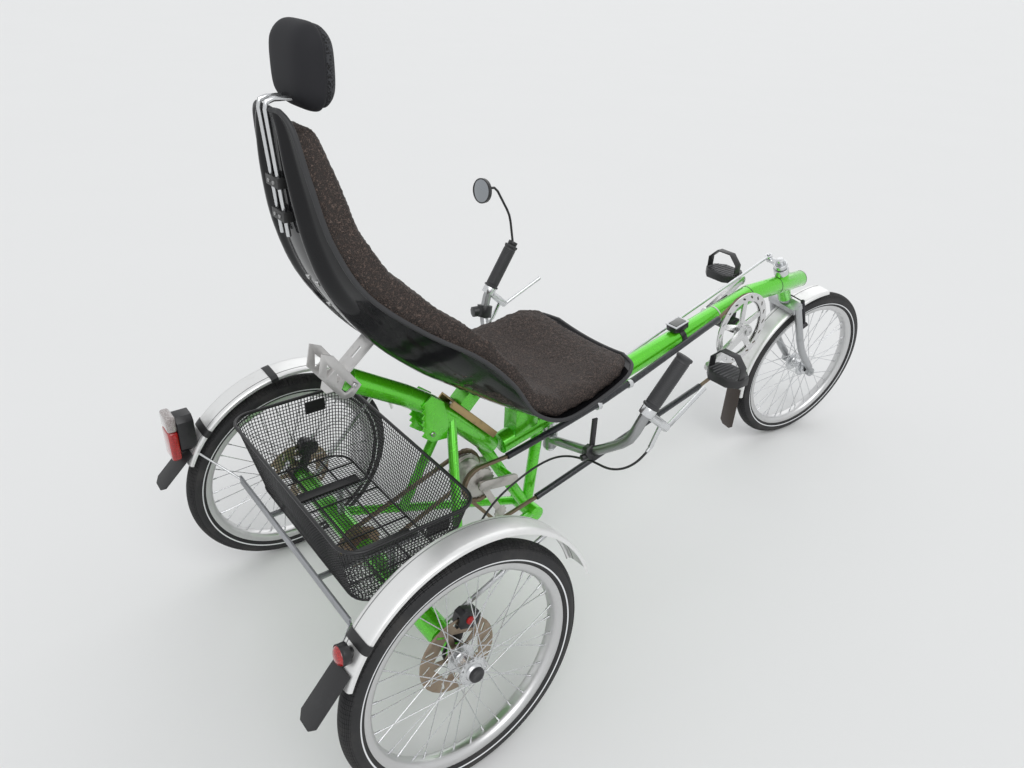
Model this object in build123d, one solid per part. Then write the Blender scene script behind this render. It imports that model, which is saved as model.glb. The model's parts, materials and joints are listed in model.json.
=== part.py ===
from build123d import *
import math
import os

os.makedirs("parts", exist_ok=True)

# Recumbent tricycle, millimetres. X points forward, Y to the rider's left, Z up.
# The layout below is written from the ground point under the middle of the rear axle.

# Wheels
tyre_radius = 250.0
tyre_width = 47.0
tyre_tread_half = 9.0
tyre_side_drop = 18.0
rim_bead_radius = 213.0
rim_inner_radius = 195.0
rim_width = 34.0
rim_inner_width = 22.0
half_track = 371.0
rear_camber = 4.2
wheelbase = 1545.0
spoke_count = 36
spoke_radius = 1.2
spoke_cross = 62.0
spoke_rim_offset = 3.0
spoke_seat_gap = 0.3
tyre_seat_gap = 0.3

# Hubs, brake discs and axle stubs
hub_barrel_radius = 14.0
hub_flange_radius = 29.0
hub_flange_width = 3.0
hub_flange_offset = 19.0
hub_cap_radius = 15.0
hub_cap_reach = 36.0
hub_cap_height = 7.7
hub_inner_reach = 38.0
hub_disc_seat = 18.0
front_hub_reach = 34.0
rear_stub_radius = 8.5
front_stub_radius = 5.0
bearing_fit = 0.05
disc_radius = 80.0
disc_inner_radius = 52.0
disc_thickness = 2.0
disc_offset = 30.0
disc_slots = 12
disc_slot = (18.0, 5.0, 35.0)
disc_hub_ring = 8.0
disc_window_turn = 27.0
disc_arms = 5
caliper_angle = 70.0

# Steering head, fork and front axle
head_angle = 28.0
head_top_x = 1316.0
head_top_z = 640.0
head_tube_radius = 19.0
head_tube_upper = 46.0
headset_top = 25.0
headset_knob_radius = 10.0
headset_knob_height = 14.0
arm_top = 8.0
head_tube_lower = 140.0
steerer_radius = 14.0
fork_leg_radius = 11.0
fork_leg_ease = 70.0
fork_leg_spread = 50.0
fork_crown_drop = 152.0
fork_crown_height = 20.0
front_flap_length = 150.0
brake_cable_reach = 31.0
crown_bridge_radius = 9.0
parked_steer = -8.5

# Main frame tubes
boom_radius = 25.0
boom_stub_radius = 24.0
boom_stub_length = 40.0
boom_cap = 5.0
boom_rear = (345.0, 390.0)
boom_knee = (1200.0, 568.0)
boom_front = (1437.0, 563.0)
arch_radius = 22.5
arch_rear = (-16.0, 666.0)
arch_knee = (158.0, 560.0)
arch_foot = (318.0, 398.0)
arch_ease = 70.0
strut_radius = 14.0
low_node = (437.0, 172.0)
low_node_radius = 20.0
low_node_half = 42.0
rear_strut_top = (288.0, 418.0)
front_strut_top = (458.0, 392.0)

# Rear axle carrier
axle_tube_radius = 25.0
axle_tube_outer = 292.0
axle_gap = 36.0
axle_boss_radius = 22.0
axle_collar_radius = 17.0
axle_collar_reach = 80.0
stay_radius = 11.0
stay_foot_half = 165.0
upper_stay_root = (205.0, 512.0)
upper_stay_root_half = 12.0
upper_stay_share = 0.66
lower_stay_root_half = 28.0

# Crank drive
crank_x = 1116.0
crank_z = 504.0
crank_length = 150.0
crank_angle = 208.0
crank_half = 62.0
crank_arm = (26.0, 20.0, 12.0)
ring_radius = 90.0
ring_teeth = 44
guard_radius = 101.0
guard_slots = 18
guard_width = 22.0
guard_slot = (12.0, 5.0, 60.0)
spindle_radius = 8.5
pedal_half = 128.0
pedal_length = 104.0
pedal_width = 84.0
pedal_height = 22.0
pedal_pin_radius = 6.0
pedal_corner = 24.0
strap_height = 56.0
strap_width = 24.0
strap_corner = 26.0

# Gear hub under the seat
gear_x = 258.0
gear_z = 345.0
gear_shell_radius = 32.0
gear_sprocket_radius = 38.0
axle_sprocket_radius = 45.0
sprocket_thickness = 2.4
tooth_height = 3.5
gear_plate_left = 29.0
gear_plate_right = -58.0
gear_bar = (341.0, 330.0)
pulley_x = 318.0
pulley_z = 238.0
pulley_radius = 18.0
tensioner_y = -53.5

# Chains and their guide tubes
front_chain_y = -48.5
second_chain_y = 22.0
chain_width = 6.0
chain_height = 8.0
chain_gap = 0.5
chain_tube_radius = 8.0
chain_tube_wall = 2.0
chain_tube_ease = 120.0
upper_tube_rear = (330.0, 388.0)
upper_tube_knee = (620.0, 434.0)
upper_tube_front = (1012.0, 556.0)
lower_tube_rear = (425.0, 234.0)
lower_tube_front = (985.0, 364.0)
tube_clip_places = (600.0, 700.0)

# Handlebar
bar_pivot_x = 500.0
bar_pivot_z = 345.0
bar_radius = 11.0
bar_clamp = (457.0, 222.0, 456.0)
bar_elbow = (476.0, 314.0, 534.0)
bar_corner = (489.0, 327.0, 590.0)
bar_tip = (561.0, 336.0, 710.0)
bar_clamp_inset = 4.0
bar_strut = (12.0, 4.0, 72.0)
bar_ease = 40.0
pivot_pin_radius = 8.0
pivot_hub_radius = 17.0
pivot_hub_up = 18.0
pivot_hub_down = 18.0
pivot_gap = 1.5
lever_ring_start = 8.5
grip_start = 27.0
grip_radius = 16.0
grip_fit = 0.05

# Steering linkage, on the left of the boom
link_y = 45.0
link_radius = 4.0
link_pin_radius = 3.0
link_eye_radius = 8.0
link_arm_drop = 10.0
link_gap = 1.5
link_seat = 4.0
link_pin_height = 12.0
link_eye_height = 8.0
link_open = 2.0
link_head_radius = 10.0
arm_thickness = 10.0

# Levers and mirror, on the left hand; the right lever mirrors them
lever_root = (548.0, 333.0, 556.0)
lever_tip = (644.0, 321.0, 619.0)
lever_barrel = (512.0, 334.0, 520.0)
mirror_stalk = ((553.0, 335.0, 793.0), (504.0, 327.0, 872.0))
mirror_centre = (468.0, 322.0, 865.0)
mirror_radius = 29.0
computer_x = 918.0

# Fenders
fender_clearance = 18.0
fender_radius = tyre_radius + fender_clearance
fender_shift_x = 10.0
fender_shift_z = 12.0
fender_width = 58.0
fender_thickness = 2.0
fender_lip = 8.0
fender_strut_angle = 38.0
fender_strut_radius = 5.0
fender_wire_angle = 150.0
fender_wire_radius = 2.5
flap_thickness = 3.0
flap_lap = 6.0
flap_corner = 12.0
rear_flap_tilt = 16.0
rear_flap_length = 105.0
lamp_angle = 146.5
lamp_radius = 18.0
lamp_depth = 12.0
lamp_stand = 8.0
lamp_foot_radius = 11.0
lens_depth = 9.0
tall_lamp = (34.0, 52.0, 86.0)
tall_lamp_centre = (-231.0, 365.0, 437.0)
tall_lens = (20.0, 50.0, 108.0)
tall_lens_drop = 3.0
rear_fender_front = 18.0
rear_fender_back = 158.0
front_fender_front = 90.0
front_fender_back = 190.0

# Basket
basket_floor_z = 345.0
basket_rim_z = 497.0
basket_rear_x = -163.0
basket_front_x = 100.0
basket_half = 258.0
basket_taper = 34.0
basket_wall = 3.0
basket_corner = 42.0
carrier_radius = 6.0
carrier_half = 110.0
crossbar_thickness = 5.0
crossbar_half = 250.0
crossbar_height = 20.0
wire_start = 2.1

# Seat stations along the middle of the shell, from the top of the back to the front lip
seat_wall = 4.0
seat_gap = 0.3
rail_x = 240.0
rail_length = 165.0
rail_width = 46.0
rail_height = 16.0
seat_post_x = 405.0
seat_block = (34.0, 40.0, 90.0)
seat_post = (64.0, 44.0, 200.0)
back_plate_thickness = 3.0
back_plate = ((-74.0, 744.0), (-52.0, 734.0), (-2.0, 662.0), (-20.0, 642.0), (-41.0, 643.0), (-83.0, 701.0))
back_windows = (
    ((-66.0, 722.0), (-52.0, 706.0), (-68.0, 694.0)),
    ((-48.0, 698.0), (-38.0, 684.0), (-50.0, 680.0)),
    ((-34.0, 680.0), (-20.0, 662.0), (-34.0, 654.0), (-42.0, 664.0)),
)
back_strap_top = (44.0, 748.0)
back_strap_low = (-64.0, 654.0)
back_strap_slots = (28.0, 92.0)
back_strap_slot = (26.0, 7.0)
tooth_plate = ((150.0, 588.0), (178.0, 566.0), (190.0, 512.0), (186.0, 476.0), (150.0, 480.0))
tooth_start = (126.0, 500.0)
tooth_pitch = 14.0
tooth_depth = 7.0
tooth_count = 6

# Headrest
head_pad_centre = (-56.0, 0.0, 1207.0)
head_pad_size = (66.0, 148.0, 130.0)
head_pad_corner = 24.0
head_rod_y = 12.0
head_rod_radius = 4.0
head_rod_top = (-124.0, 1164.0)
head_rod_low = (-106.0, 957.0)
head_rod_high = 1164.0
head_clamp_heights = (1043.0, 990.0)

seat_rim = 10.0
seat_groove_half = 42.0
seat_ridge_half = 56.0
mat_lift = 0.5
mat_shares = (1.0, 1.0, 1.0, 0.88)

# columns: x, z, half width, edge rise, mat thickness, depth of the two ridges on the back
seat_stations = [
    (-118.0, 1150.0, 40.0, 2.0, 30.0, 2.0),
    (-114.0, 1128.0, 68.0, 4.0, 44.0, 8.0),
    (-108.0, 1050.0, 88.0, 10.0, 58.0, 12.0),
    (-96.0, 955.0, 104.0, 20.0, 64.0, 12.0),
    (-62.0, 862.0, 128.0, 32.0, 68.0, 12.0),
    (4.0, 764.0, 160.0, 62.0, 66.0, 10.0),
    (88.0, 680.0, 188.0, 84.0, 60.0, 6.0),
    (172.0, 616.0, 196.0, 72.0, 52.0, 2.0),
    (260.0, 560.0, 198.0, 34.0, 48.0, 0.0),
    (350.0, 528.0, 198.0, 24.0, 46.0, 0.0),
    (450.0, 532.0, 196.0, 34.0, 44.0, 0.0),
    (540.0, 557.0, 186.0, 32.0, 40.0, 0.0),
    (584.0, 574.0, 158.0, 22.0, 34.0, 0.0),
    (602.0, 582.0, 110.0, 12.0, 26.0, 0.0),
]

# Hub heights follow from the lean of each wheel, so that every tyre stands on the ground
rear_lean = math.radians(rear_camber)
rear_hub_z = tyre_radius * math.cos(rear_lean) + tyre_tread_half * math.sin(rear_lean)
head_sin = math.sin(math.radians(head_angle))
head_cos = math.cos(math.radians(head_angle))
steer_sin = math.sin(math.radians(parked_steer))
front_lean = math.asin(steer_sin * head_sin)
front_hub_z = tyre_radius * math.cos(front_lean) + tyre_tread_half * abs(math.sin(front_lean))

# The rod climbs from the bar to the raked steering head, and the arm there is as long as keeps its two
# pins apart by the same distance over the whole travel
bar_link_z = bar_pivot_z + (bar_clamp[2] - bar_pivot_z) * link_y / bar_clamp[1]
link_length = head_top_x - bar_pivot_x
link_slope = (head_top_z - bar_link_z - bar_radius - link_seat) / link_length
fork_link_y = link_y / (head_cos + link_slope * head_sin)

ON_BASE = (Align.CENTER, Align.CENTER, Align.MIN)
SIDES = ((1, "left"), (-1, "right"))
nodes = {}

# The steering rod's pin on the bar leans sideways by this slope, so that the rod's front end rises
# and falls with the arm on the raked steering head
link_lean = fork_link_y * head_sin / link_length


def place(node, shape):
    """Keep a finished piece under its node name, in the shared frame."""
    nodes.setdefault(node, []).append(Pos(-origin_x, 0, 0) * shape)


def rod(start, end, radius, sides=0):
    """A straight bar between two points, round or with a number of flat sides."""
    start = Vector(*start)
    end = Vector(*end)
    plane = Plane(origin=start, z_dir=end - start)
    if sides:
        return plane.location * prism(radius, (end - start).length, sides)
    return Solid.make_cylinder(radius, (end - start).length, plane)


def prism(radius, height, sides):
    """An upright bar with flat sides, its corners on the given radius."""
    return extrude(RegularPolygon(radius, sides), height)


def around(radius, sides):
    """Corner radius of a flat-sided bore that clears a round bar of the given radius."""
    return radius / math.cos(math.pi / sides)


def faceted(rings, split=False):
    """A closed solid through rings of points, with flat faces, or pairs of triangles, between them."""
    faces = [Face(Wire.make_polygon(rings[0])), Face(Wire.make_polygon(rings[-1]))]
    for low, high in zip(rings, rings[1:]):
        for index in range(len(low)):
            after = (index + 1) % len(low)
            corners = [low[index], low[after], high[after], high[index]]
            if not split:
                faces.append(Face(Wire.make_polygon(corners)))
                continue
            if abs(corners[0].Y) > abs(corners[1].Y):
                corners = corners[1:] + corners[:1]
            faces.append(Face(Wire.make_polygon(corners[:3])))
            faces.append(Face(Wire.make_polygon([corners[2], corners[3], corners[0]])))
    return Solid(Shell(faces))


def eased(points, reach, steps=2):
    """The corners of a path cut back by a reach and replaced by short straight runs."""
    corners = [Vector(*point) for point in points]
    path = [corners[0]]
    for before, corner, after in zip(corners, corners[1:], corners[2:]):
        back = before - corner
        ahead = after - corner
        cut = min(reach, 0.45 * back.length, 0.45 * ahead.length)
        first = corner + back.normalized() * cut
        last = corner + ahead.normalized() * cut
        for step in range(steps + 1):
            share = step / steps
            path.append(first * (1 - share) ** 2 + corner * (2 * share * (1 - share)) + last * share ** 2)
    path.append(corners[-1])
    return path


def barrel(points, radius, sides):
    """A bar with flat sides along straight runs, mitred from run to run."""
    path = [Vector(*point) for point in points]
    runs = [(after - before).normalized() for before, after in zip(path, path[1:])]
    start = Plane(origin=path[0], z_dir=runs[0])
    ring = []
    for index in range(sides):
        turn = 2 * math.pi * (index + 0.5) / sides
        ring.append(path[0] + start.x_dir * (radius * math.cos(turn)) + start.y_dir * (radius * math.sin(turn)))
    rings = [ring]
    for index, run in enumerate(runs):
        corner = path[index + 1]
        across = run + runs[min(index + 1, len(runs) - 1)]
        ring = [point + run * ((corner - point).dot(across) / run.dot(across)) for point in ring]
        rings.append(ring)
    return faceted(rings)


def mitred(points, radius):
    """A round tube along straight runs, mitred from run to run."""
    path = Polyline(*points)
    start = Plane(origin=path @ 0, z_dir=path % 0)
    return sweep(start * Circle(radius), path=path, transition=Transition.RIGHT)


def strap_outline(length, width):
    """Outline of a flat link between two centres, its ends rounded in four edges."""
    points = []
    for centre, first in ((length, -90), (0, 90)):
        for step in range(5):
            turn = math.radians(first + 45 * step)
            points.append((centre + width / 2 * math.cos(turn), width / 2 * math.sin(turn)))
    return make_face(Polyline(*points, close=True))


def revolved(profile, plane):
    """A turned piece from (radius, height) pairs about the plane's own Z."""
    face = make_face(Polyline(*[(r, 0, h) for r, h in profile], close=True))
    return plane.location * revolve(face, Axis.Z)


def wheel_plane(side):
    """Centre and outward direction of a rear wheel, with the top leaning inwards."""
    outward = Vector(0, side * math.cos(rear_lean), math.sin(rear_lean))
    return Plane(origin=(0, side * half_track, rear_hub_z), x_dir=(1, 0, 0), z_dir=outward)


def fender_plane(side):
    """The plane of a rear wheel, shifted to the middle of its fender."""
    plane = wheel_plane(side)
    middle = plane.origin + Vector(fender_shift_x, 0, fender_shift_z)
    return Plane(origin=middle, x_dir=plane.x_dir, z_dir=plane.z_dir)


def fender_point(side, angle, radius, axial):
    """A point by a rear fender: angle up from the front, radius, and distance outwards."""
    turn = math.radians(angle)
    up = radius * math.sin(turn)
    x = fender_shift_x + radius * math.cos(turn)
    y = side * (half_track - up * math.sin(rear_lean) + axial * math.cos(rear_lean))
    return (x, y, rear_hub_z + fender_shift_z + up * math.cos(rear_lean) + axial * math.sin(rear_lean))


def steered(shape, turn=parked_steer):
    """Turn a piece of the steered front end about the steering head."""
    foot = Vector(head_top_x, 0, head_top_z)
    axis = Axis(foot, Vector(-head_sin, 0, head_cos))
    return shape.rotate(axis, turn)


def barred(shape, turn=parked_steer):
    """Turn a piece of the handlebar about its upright pivot."""
    return shape.rotate(Axis((bar_pivot_x, 0, 0), (0, 0, 1)), turn)


def whole_length_middle():
    """Middle between the tips of the rear mudflaps and the front of the parked front tyre."""
    start = math.radians(rear_fender_back - flap_lap)
    lean = start - math.radians(rear_flap_tilt)
    top = fender_shift_x + (fender_radius + fender_thickness + seat_gap) * math.cos(start)
    rear = top + flap_thickness * math.cos(lean) - rear_flap_length * math.sin(lean)
    front_hub = steered(Vertex(wheelbase, 0, front_hub_z)).center()
    sideways = abs(head_cos * steer_sin)
    front = front_hub.X + tyre_radius * math.sqrt(1 - sideways ** 2) + tyre_tread_half * sideways
    return (rear + front) / 2


def tyre(plane):
    """Tyre with a flat tread, straight shoulders and its widest ring below them."""
    half = tyre_width / 2
    widest = tyre_radius - tyre_side_drop
    bead = rim_bead_radius + tyre_seat_gap
    foot = rim_width / 2
    profile = [
        (bead, -foot), (widest, -half), (tyre_radius, -tyre_tread_half),
        (tyre_radius, tyre_tread_half), (widest, half), (bead, foot),
    ]
    return revolved(profile, plane)


def rim(plane):
    """Rim, wide at the bead and narrow at the spokes."""
    outer = rim_width / 2
    inner = rim_inner_width / 2
    profile = [
        (rim_bead_radius, -outer), (rim_bead_radius, outer),
        (rim_inner_radius, inner), (rim_inner_radius, -inner),
    ]
    return revolved(profile, plane)


def spokes(plane):
    """Crossed spokes from the edges of the two hub flanges to the rim."""
    pieces = []
    inner = hub_flange_radius + spoke_radius + spoke_seat_gap
    outer = rim_inner_radius - spoke_seat_gap
    for index in range(spoke_count):
        rim_turn = math.radians(360 * index / spoke_count)
        side = 1 if index % 2 else -1
        lead = 1 if (index // 2) % 2 else -1
        hub_turn = rim_turn + lead * math.radians(spoke_cross)
        start = (inner * math.cos(hub_turn), inner * math.sin(hub_turn), side * hub_flange_offset)
        end = (outer * math.cos(rim_turn), outer * math.sin(rim_turn), side * spoke_rim_offset)
        pieces.append(rod(start, end, spoke_radius, 4))
    return plane.location * Compound(pieces)


def hub(plane, stub_radius, outer_reach, inner_reach):
    """Hub shell with two tapered flanges, bored for its axle."""
    low = hub_flange_offset - hub_flange_width
    high = hub_flange_offset + hub_flange_width
    tip = hub_flange_offset
    bore = stub_radius + bearing_fit
    body = hub_barrel_radius
    profile = [
        (bore, -inner_reach), (hub_disc_seat, -inner_reach), (hub_disc_seat, -high),
        (hub_flange_radius, -tip), (body, -low), (body, low), (hub_flange_radius, tip),
        (body, high), (body, outer_reach), (bore, outer_reach),
    ]
    return revolved(profile, plane)


def brake_disc(plane):
    """Disc rotor with a ring of slots and five windows, on the inner side of the hub."""
    middle = (disc_radius + disc_inner_radius) / 2
    bore = around(hub_disc_seat + seat_gap, 12)
    sketch = RegularPolygon(disc_radius, 32) - RegularPolygon(bore, 12)
    length, width, slant = disc_slot
    for index in range(disc_slots):
        sketch -= Rot(0, 0, 360 / disc_slots * index) * Pos(middle, 0) * Rot(0, 0, slant) * Rectangle(length, width)
    near = hub_disc_seat + disc_hub_ring
    turn = math.radians(disc_window_turn)
    window = [(reach * math.cos(angle), reach * math.sin(angle)) for reach, angle in (
        (near, -turn), (disc_inner_radius, -turn), (disc_inner_radius, turn), (near, turn))]
    for index in range(disc_arms):
        sketch -= Rot(0, 0, 360 / disc_arms * index) * make_face(Polyline(*window, close=True))
    return plane.location * Pos(0, 0, -disc_offset - disc_thickness) * extrude(sketch, disc_thickness)


def fender(plane, front, back):
    """Arched fender strip, a shallow channel in section with thin lips."""
    half = fender_width / 2
    inner = fender_radius
    outer = inner + fender_thickness
    profile = [
        (inner - fender_lip, -half), (outer, 6 - half), (outer, half - 6),
        (inner - fender_lip, half), (inner, half - 8), (inner, 8 - half),
    ]
    face = make_face(Polyline(*[(r, 0, h) for r, h in profile], close=True))
    return plane.location * revolve(Rot(0, 0, front) * face, Axis.Z, back - front)


def flap(plane, start, length, tilt=0.0):
    """Flat rubber mudflap from the end of a fender, tilted away from the wheel."""
    panel = Box(flap_thickness, length, fender_width - 6, align=(Align.MIN, Align.MIN, Align.CENTER))
    panel = chamfer(panel.edges().filter_by(Axis.X).sort_by(Axis.Y)[-2:], flap_corner)
    top = Rot(0, 0, start) * Pos(fender_radius + fender_thickness + seat_gap, 0, 0) * Rot(0, 0, -tilt)
    return plane.location * top * panel


def rear_wheels():
    for side, name in SIDES:
        plane = wheel_plane(side)
        place(f"tyre_{name}", tyre(plane))
        place(f"rim_{name}", rim(plane))
        place(f"hub_{name}", spokes(plane))
        shell_reach = hub_cap_reach - hub_cap_height - seat_gap
        place(f"hub_{name}", hub(plane, rear_stub_radius, shell_reach, hub_inner_reach))
        cap = Pos(0, 0, hub_cap_reach - hub_cap_height) * prism(hub_cap_radius, hub_cap_height, 16)
        place(f"hub_cap_{name}", plane.location * cap)
        place(f"brake_disc_{name}", brake_disc(plane))


def axle_carrier():
    """Axle tubes with slanted stub axles at their ends, and the stays that carry them."""
    raised = axle_tube_radius * 0.6
    welds = arch_solid(0.05) + low_node_solid(0.05) + strut_tubes(0.05)
    for side, name in SIDES:
        start = second_chain_y + side * axle_gap / 2
        tube = rod((0, start, rear_hub_z), (0, side * axle_tube_outer, rear_hub_z), axle_tube_radius)
        plane = wheel_plane(side)
        stub_tip = hub_cap_reach - hub_cap_height - 1.5
        stub = Pos(0, 0, -60) * Cylinder(rear_stub_radius, 60 + stub_tip, align=ON_BASE)
        collar = Pos(0, 0, -axle_collar_reach) * prism(
            axle_collar_radius, axle_collar_reach - hub_inner_reach - 0.5, 14)
        place("axle_tubes", tube + plane.location * stub + plane.location * collar)
        housing = rod((0, 0, rear_hub_z), (0, side * axle_tube_outer, rear_hub_z), axle_tube_radius + 0.05)
        root = Vector(low_node[0], side * lower_stay_root_half, low_node[1])
        foot = Vector(raised, side * stay_foot_half, rear_hub_z - raised)
        stays = rod(root, foot, stay_radius, 10)
        top = (upper_stay_root[0], side * upper_stay_root_half, upper_stay_root[1])
        stays += rod(top, root + (foot - root) * upper_stay_share, stay_radius, 10)
        place("axle_stays", (stays - housing - welds).solids().sort_by(SortBy.VOLUME)[-1])
        place("brake_calipers", caliper(plane, side))
        strut_end = fender_point(side, fender_strut_angle, fender_radius - fender_lip + 2,
                                 -fender_width / 2 - fender_strut_radius - seat_gap)
        strut = rod((raised, side * (axle_tube_outer - 14), rear_hub_z + raised), strut_end, fender_strut_radius, 8)
        place("fender_stays", strut - housing)
    boss = rod((0, second_chain_y - axle_gap / 2 + seat_gap, rear_hub_z),
               (0, second_chain_y + axle_gap / 2 - seat_gap, rear_hub_z), axle_boss_radius, 16)
    place("axle_sprocket", boss + sprocket(0, rear_hub_z, second_chain_y, axle_sprocket_radius, 26))


def caliper(plane, side):
    """Disc caliper with its bracket plate, clamped to the axle collar."""
    body = Pos(disc_radius - 4, 0, -35.5) * Box(36, 46, 23)
    body = chamfer(body.edges().filter_by(Axis.Z), 8)
    gap = Pos(0, 0, -disc_offset - disc_thickness / 2) * Cylinder(disc_radius + 3, disc_thickness + 3)
    clamp_radius = axle_collar_radius + 7
    bracket = Pos((disc_radius + axle_collar_radius) / 2, 0, -44.5) * Box(
        disc_radius - axle_collar_radius, 24, 5)
    ring = Pos(0, 0, -47) * prism(clamp_radius, 5, 12)
    bore = Pos(0, 0, -48) * prism(around(axle_collar_radius + 0.05, 14), 8, 14)
    turn = Rot(0, 0, -side * caliper_angle)
    return plane.location * (turn * (body - gap + bracket) + ring - bore)


def arch_solid(grow=0.0):
    points = eased([(p[0], 0, p[1]) for p in (arch_rear, arch_knee, arch_foot)], arch_ease, 2)
    return mitred(points, arch_radius + grow)


def low_node_solid(grow=0.0):
    half = low_node_half
    return rod((low_node[0], -half, low_node[1]), (low_node[0], half, low_node[1]), low_node_radius + grow)


def boom_solid(radius):
    return mitred([(p[0], 0, p[1]) for p in (boom_rear, boom_knee, boom_front)], radius)


def boom_height(x):
    """Height of the boom's middle line behind its knee."""
    slope = (boom_knee[1] - boom_rear[1]) / (boom_knee[0] - boom_rear[0])
    return boom_rear[1] + (x - boom_rear[0]) * slope


def strut_tubes(grow=0.0):
    """The open triangle of struts that drops from the arch and the boom to the low node."""
    low = (low_node[0], 0, low_node[1])
    tubes = rod((rear_strut_top[0], 0, rear_strut_top[1]), low, strut_radius + grow, 14)
    return tubes + rod((front_strut_top[0], 0, front_strut_top[1]), low, strut_radius + grow, 14)


def frame():
    """Boom with its steering head and a slimmer stub in front of it, rear arch and struts."""
    tip = Vector(boom_front[0], 0, boom_front[1])
    knee = Vector(boom_knee[0], 0, boom_knee[1])
    ahead = (tip - knee).normalized()
    shoulder = tip - ahead * boom_stub_length
    sleeve = rod(shoulder, tip + ahead, 2 * boom_radius, 4) - rod(shoulder, tip + ahead, boom_stub_radius)
    outer = boom_solid(boom_radius) - sleeve
    head = head_cylinder(head_tube_radius, head_tube_upper, head_tube_lower)
    arch = arch_solid()
    boom = outer + head
    boom -= head_cylinder(steerer_radius + bearing_fit, head_tube_upper - 1, head_tube_lower + 1)
    boom -= arch
    place("boom_tube", boom.solids().sort_by(SortBy.VOLUME)[-1])
    place("arch_tube", arch)
    struts = strut_tubes()
    struts += rod((gear_bar[0], gear_plate_right, gear_bar[1]), (gear_bar[0], gear_plate_left, gear_bar[1]), 8, 12)
    struts = struts - arch - outer
    place("struts", struts + low_node_solid())
    place("boom_end_cap", rod(tip, tip + ahead * boom_cap, boom_stub_radius, 20))


def head_cylinder(radius, upper, lower):
    """A cylinder on the steering axis, between two distances below the top point."""
    plane = Plane(origin=head_point(upper), x_dir=(0, 1, 0), z_dir=(head_sin, 0, -head_cos))
    return Solid.make_cylinder(radius, lower - upper, plane)


def head_point(drop, offset=0.0, y=0.0):
    """A point by the steering axis: distance down it, distance in front of it, and sideways."""
    x = head_top_x + drop * head_sin + offset * head_cos
    z = head_top_z - drop * head_cos + offset * head_sin
    return (x, y, z)


def front_end():
    """Fork, front wheel, fender and steering arm, drawn straight ahead and turned as parked."""
    centre = Vector(wheelbase, 0, front_hub_z)
    plane = Plane(origin=centre, x_dir=(1, 0, 0), z_dir=(0, 1, 0))
    place("tyre_front", steered(tyre(plane)))
    place("rim_front", steered(rim(plane)))
    place("hub_front", steered(spokes(plane)))
    place("hub_front", steered(hub(plane, front_stub_radius, front_hub_reach, front_hub_reach)))

    head_plane = Plane(origin=head_point(fork_crown_drop), x_dir=(0, 1, 0), z_dir=(head_sin, 0, -head_cos))
    crown = head_plane.location * Box(2 * fork_leg_spread, 34, fork_crown_height, align=ON_BASE)
    axle_half = fork_leg_spread + 12
    fork = head_cylinder(steerer_radius, arm_top, fork_crown_drop) + crown
    fork += rod((wheelbase, -axle_half, front_hub_z), (wheelbase, axle_half, front_hub_z), front_stub_radius)
    for side, name in SIDES:
        y = side * fork_leg_spread
        fork += fork_leg(side)
        fork += rod(fork_leg_points(side)[-1], (wheelbase, y, front_hub_z), 9, 8)
        fork += rod((wheelbase, y - 6, front_hub_z), (wheelbase, y + 6, front_hub_z), 14, 10)
    fork += crown_bridge()
    place("fork", steered(fork))
    bore = rod(head_point(arm_top), head_point(head_tube_upper), around(steerer_radius + bearing_fit, 16), 16)
    spacer = rod(head_point(headset_top), head_point(head_tube_upper - link_gap), head_tube_radius + 2, 18)
    place("headset_cap", steered(spacer - bore))
    knob = rod(head_point(arm_top - headset_knob_height), head_point(arm_top - seat_gap), headset_knob_radius, 12)
    place("headset_cap", steered(knob))
    place("steering_arm", steered(steering_arm()))
    side_plane = Plane(origin=centre, x_dir=(1, 0, 0), z_dir=(0, -1, 0))
    place("fender_front", steered(fender(side_plane, front_fender_front, front_fender_back)))
    place("flap_front", steered(flap(side_plane, front_fender_back - flap_lap, front_flap_length)))


def fork_leg_points(side):
    y = side * fork_leg_spread
    ankle = (wheelbase - 12, y, front_hub_z + 20)
    return [head_point(fork_crown_drop + 2, 0, y), head_point(fork_crown_drop + 180, -8, y), ankle]


def fork_leg(side, grow=0.0):
    """One bent fork leg from the crown to its dropout."""
    return barrel(eased(fork_leg_points(side), fork_leg_ease), fork_leg_radius + grow, 10)


def link_frame(drop):
    """Frame on the steering axis with Z up along it and X to the left."""
    return Plane(origin=head_point(drop), x_dir=(0, 1, 0), z_dir=(-head_sin, 0, head_cos))


def steering_arm():
    """Arm clamped on the steerer, with the pin for the steering rod."""
    arm = RegularPolygon(head_tube_radius, 16) + Pos(fork_link_y / 2, 0) * Rectangle(fork_link_y, 14)
    arm += Pos(fork_link_y, 0) * RegularPolygon(9, 8)
    arm = extrude(arm - RegularPolygon(around(steerer_radius + bearing_fit, 16), 16), arm_thickness)
    pin = Pos(fork_link_y, 0, arm_thickness) * Cylinder(link_pin_radius, link_pin_height, align=ON_BASE)
    return link_frame(link_arm_drop + arm_thickness).location * (arm + pin)


def crown_bridge():
    """Bolt block under the fork crown that carries the front fender."""
    top = Vector(*head_point(fork_crown_drop + fork_crown_height - 2))
    centre = Vector(wheelbase, 0, front_hub_z)
    skin = fender_radius + fender_thickness + seat_gap
    return rod(top, centre + (top - centre).normalized() * skin, crown_bridge_radius, 8)


def sprocket(x, z, y, radius, teeth, steps=((0.0, 0), (0.5, 1))):
    """Toothed sprocket in an upright plane. Each step is a share of a tooth and whether it is at the tip."""
    points = []
    for index in range(teeth):
        for share, high in steps:
            reach = radius if high else radius - tooth_height
            angle = 2 * math.pi * (index + share) / teeth
            points.append((reach * math.cos(angle), reach * math.sin(angle)))
    face = make_face(Polyline(*points, close=True))
    plane = Plane(origin=(x, y, z), x_dir=(1, 0, 0), z_dir=(0, -1, 0))
    return plane.location * Pos(0, 0, -sprocket_thickness / 2) * extrude(face, sprocket_thickness)


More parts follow.
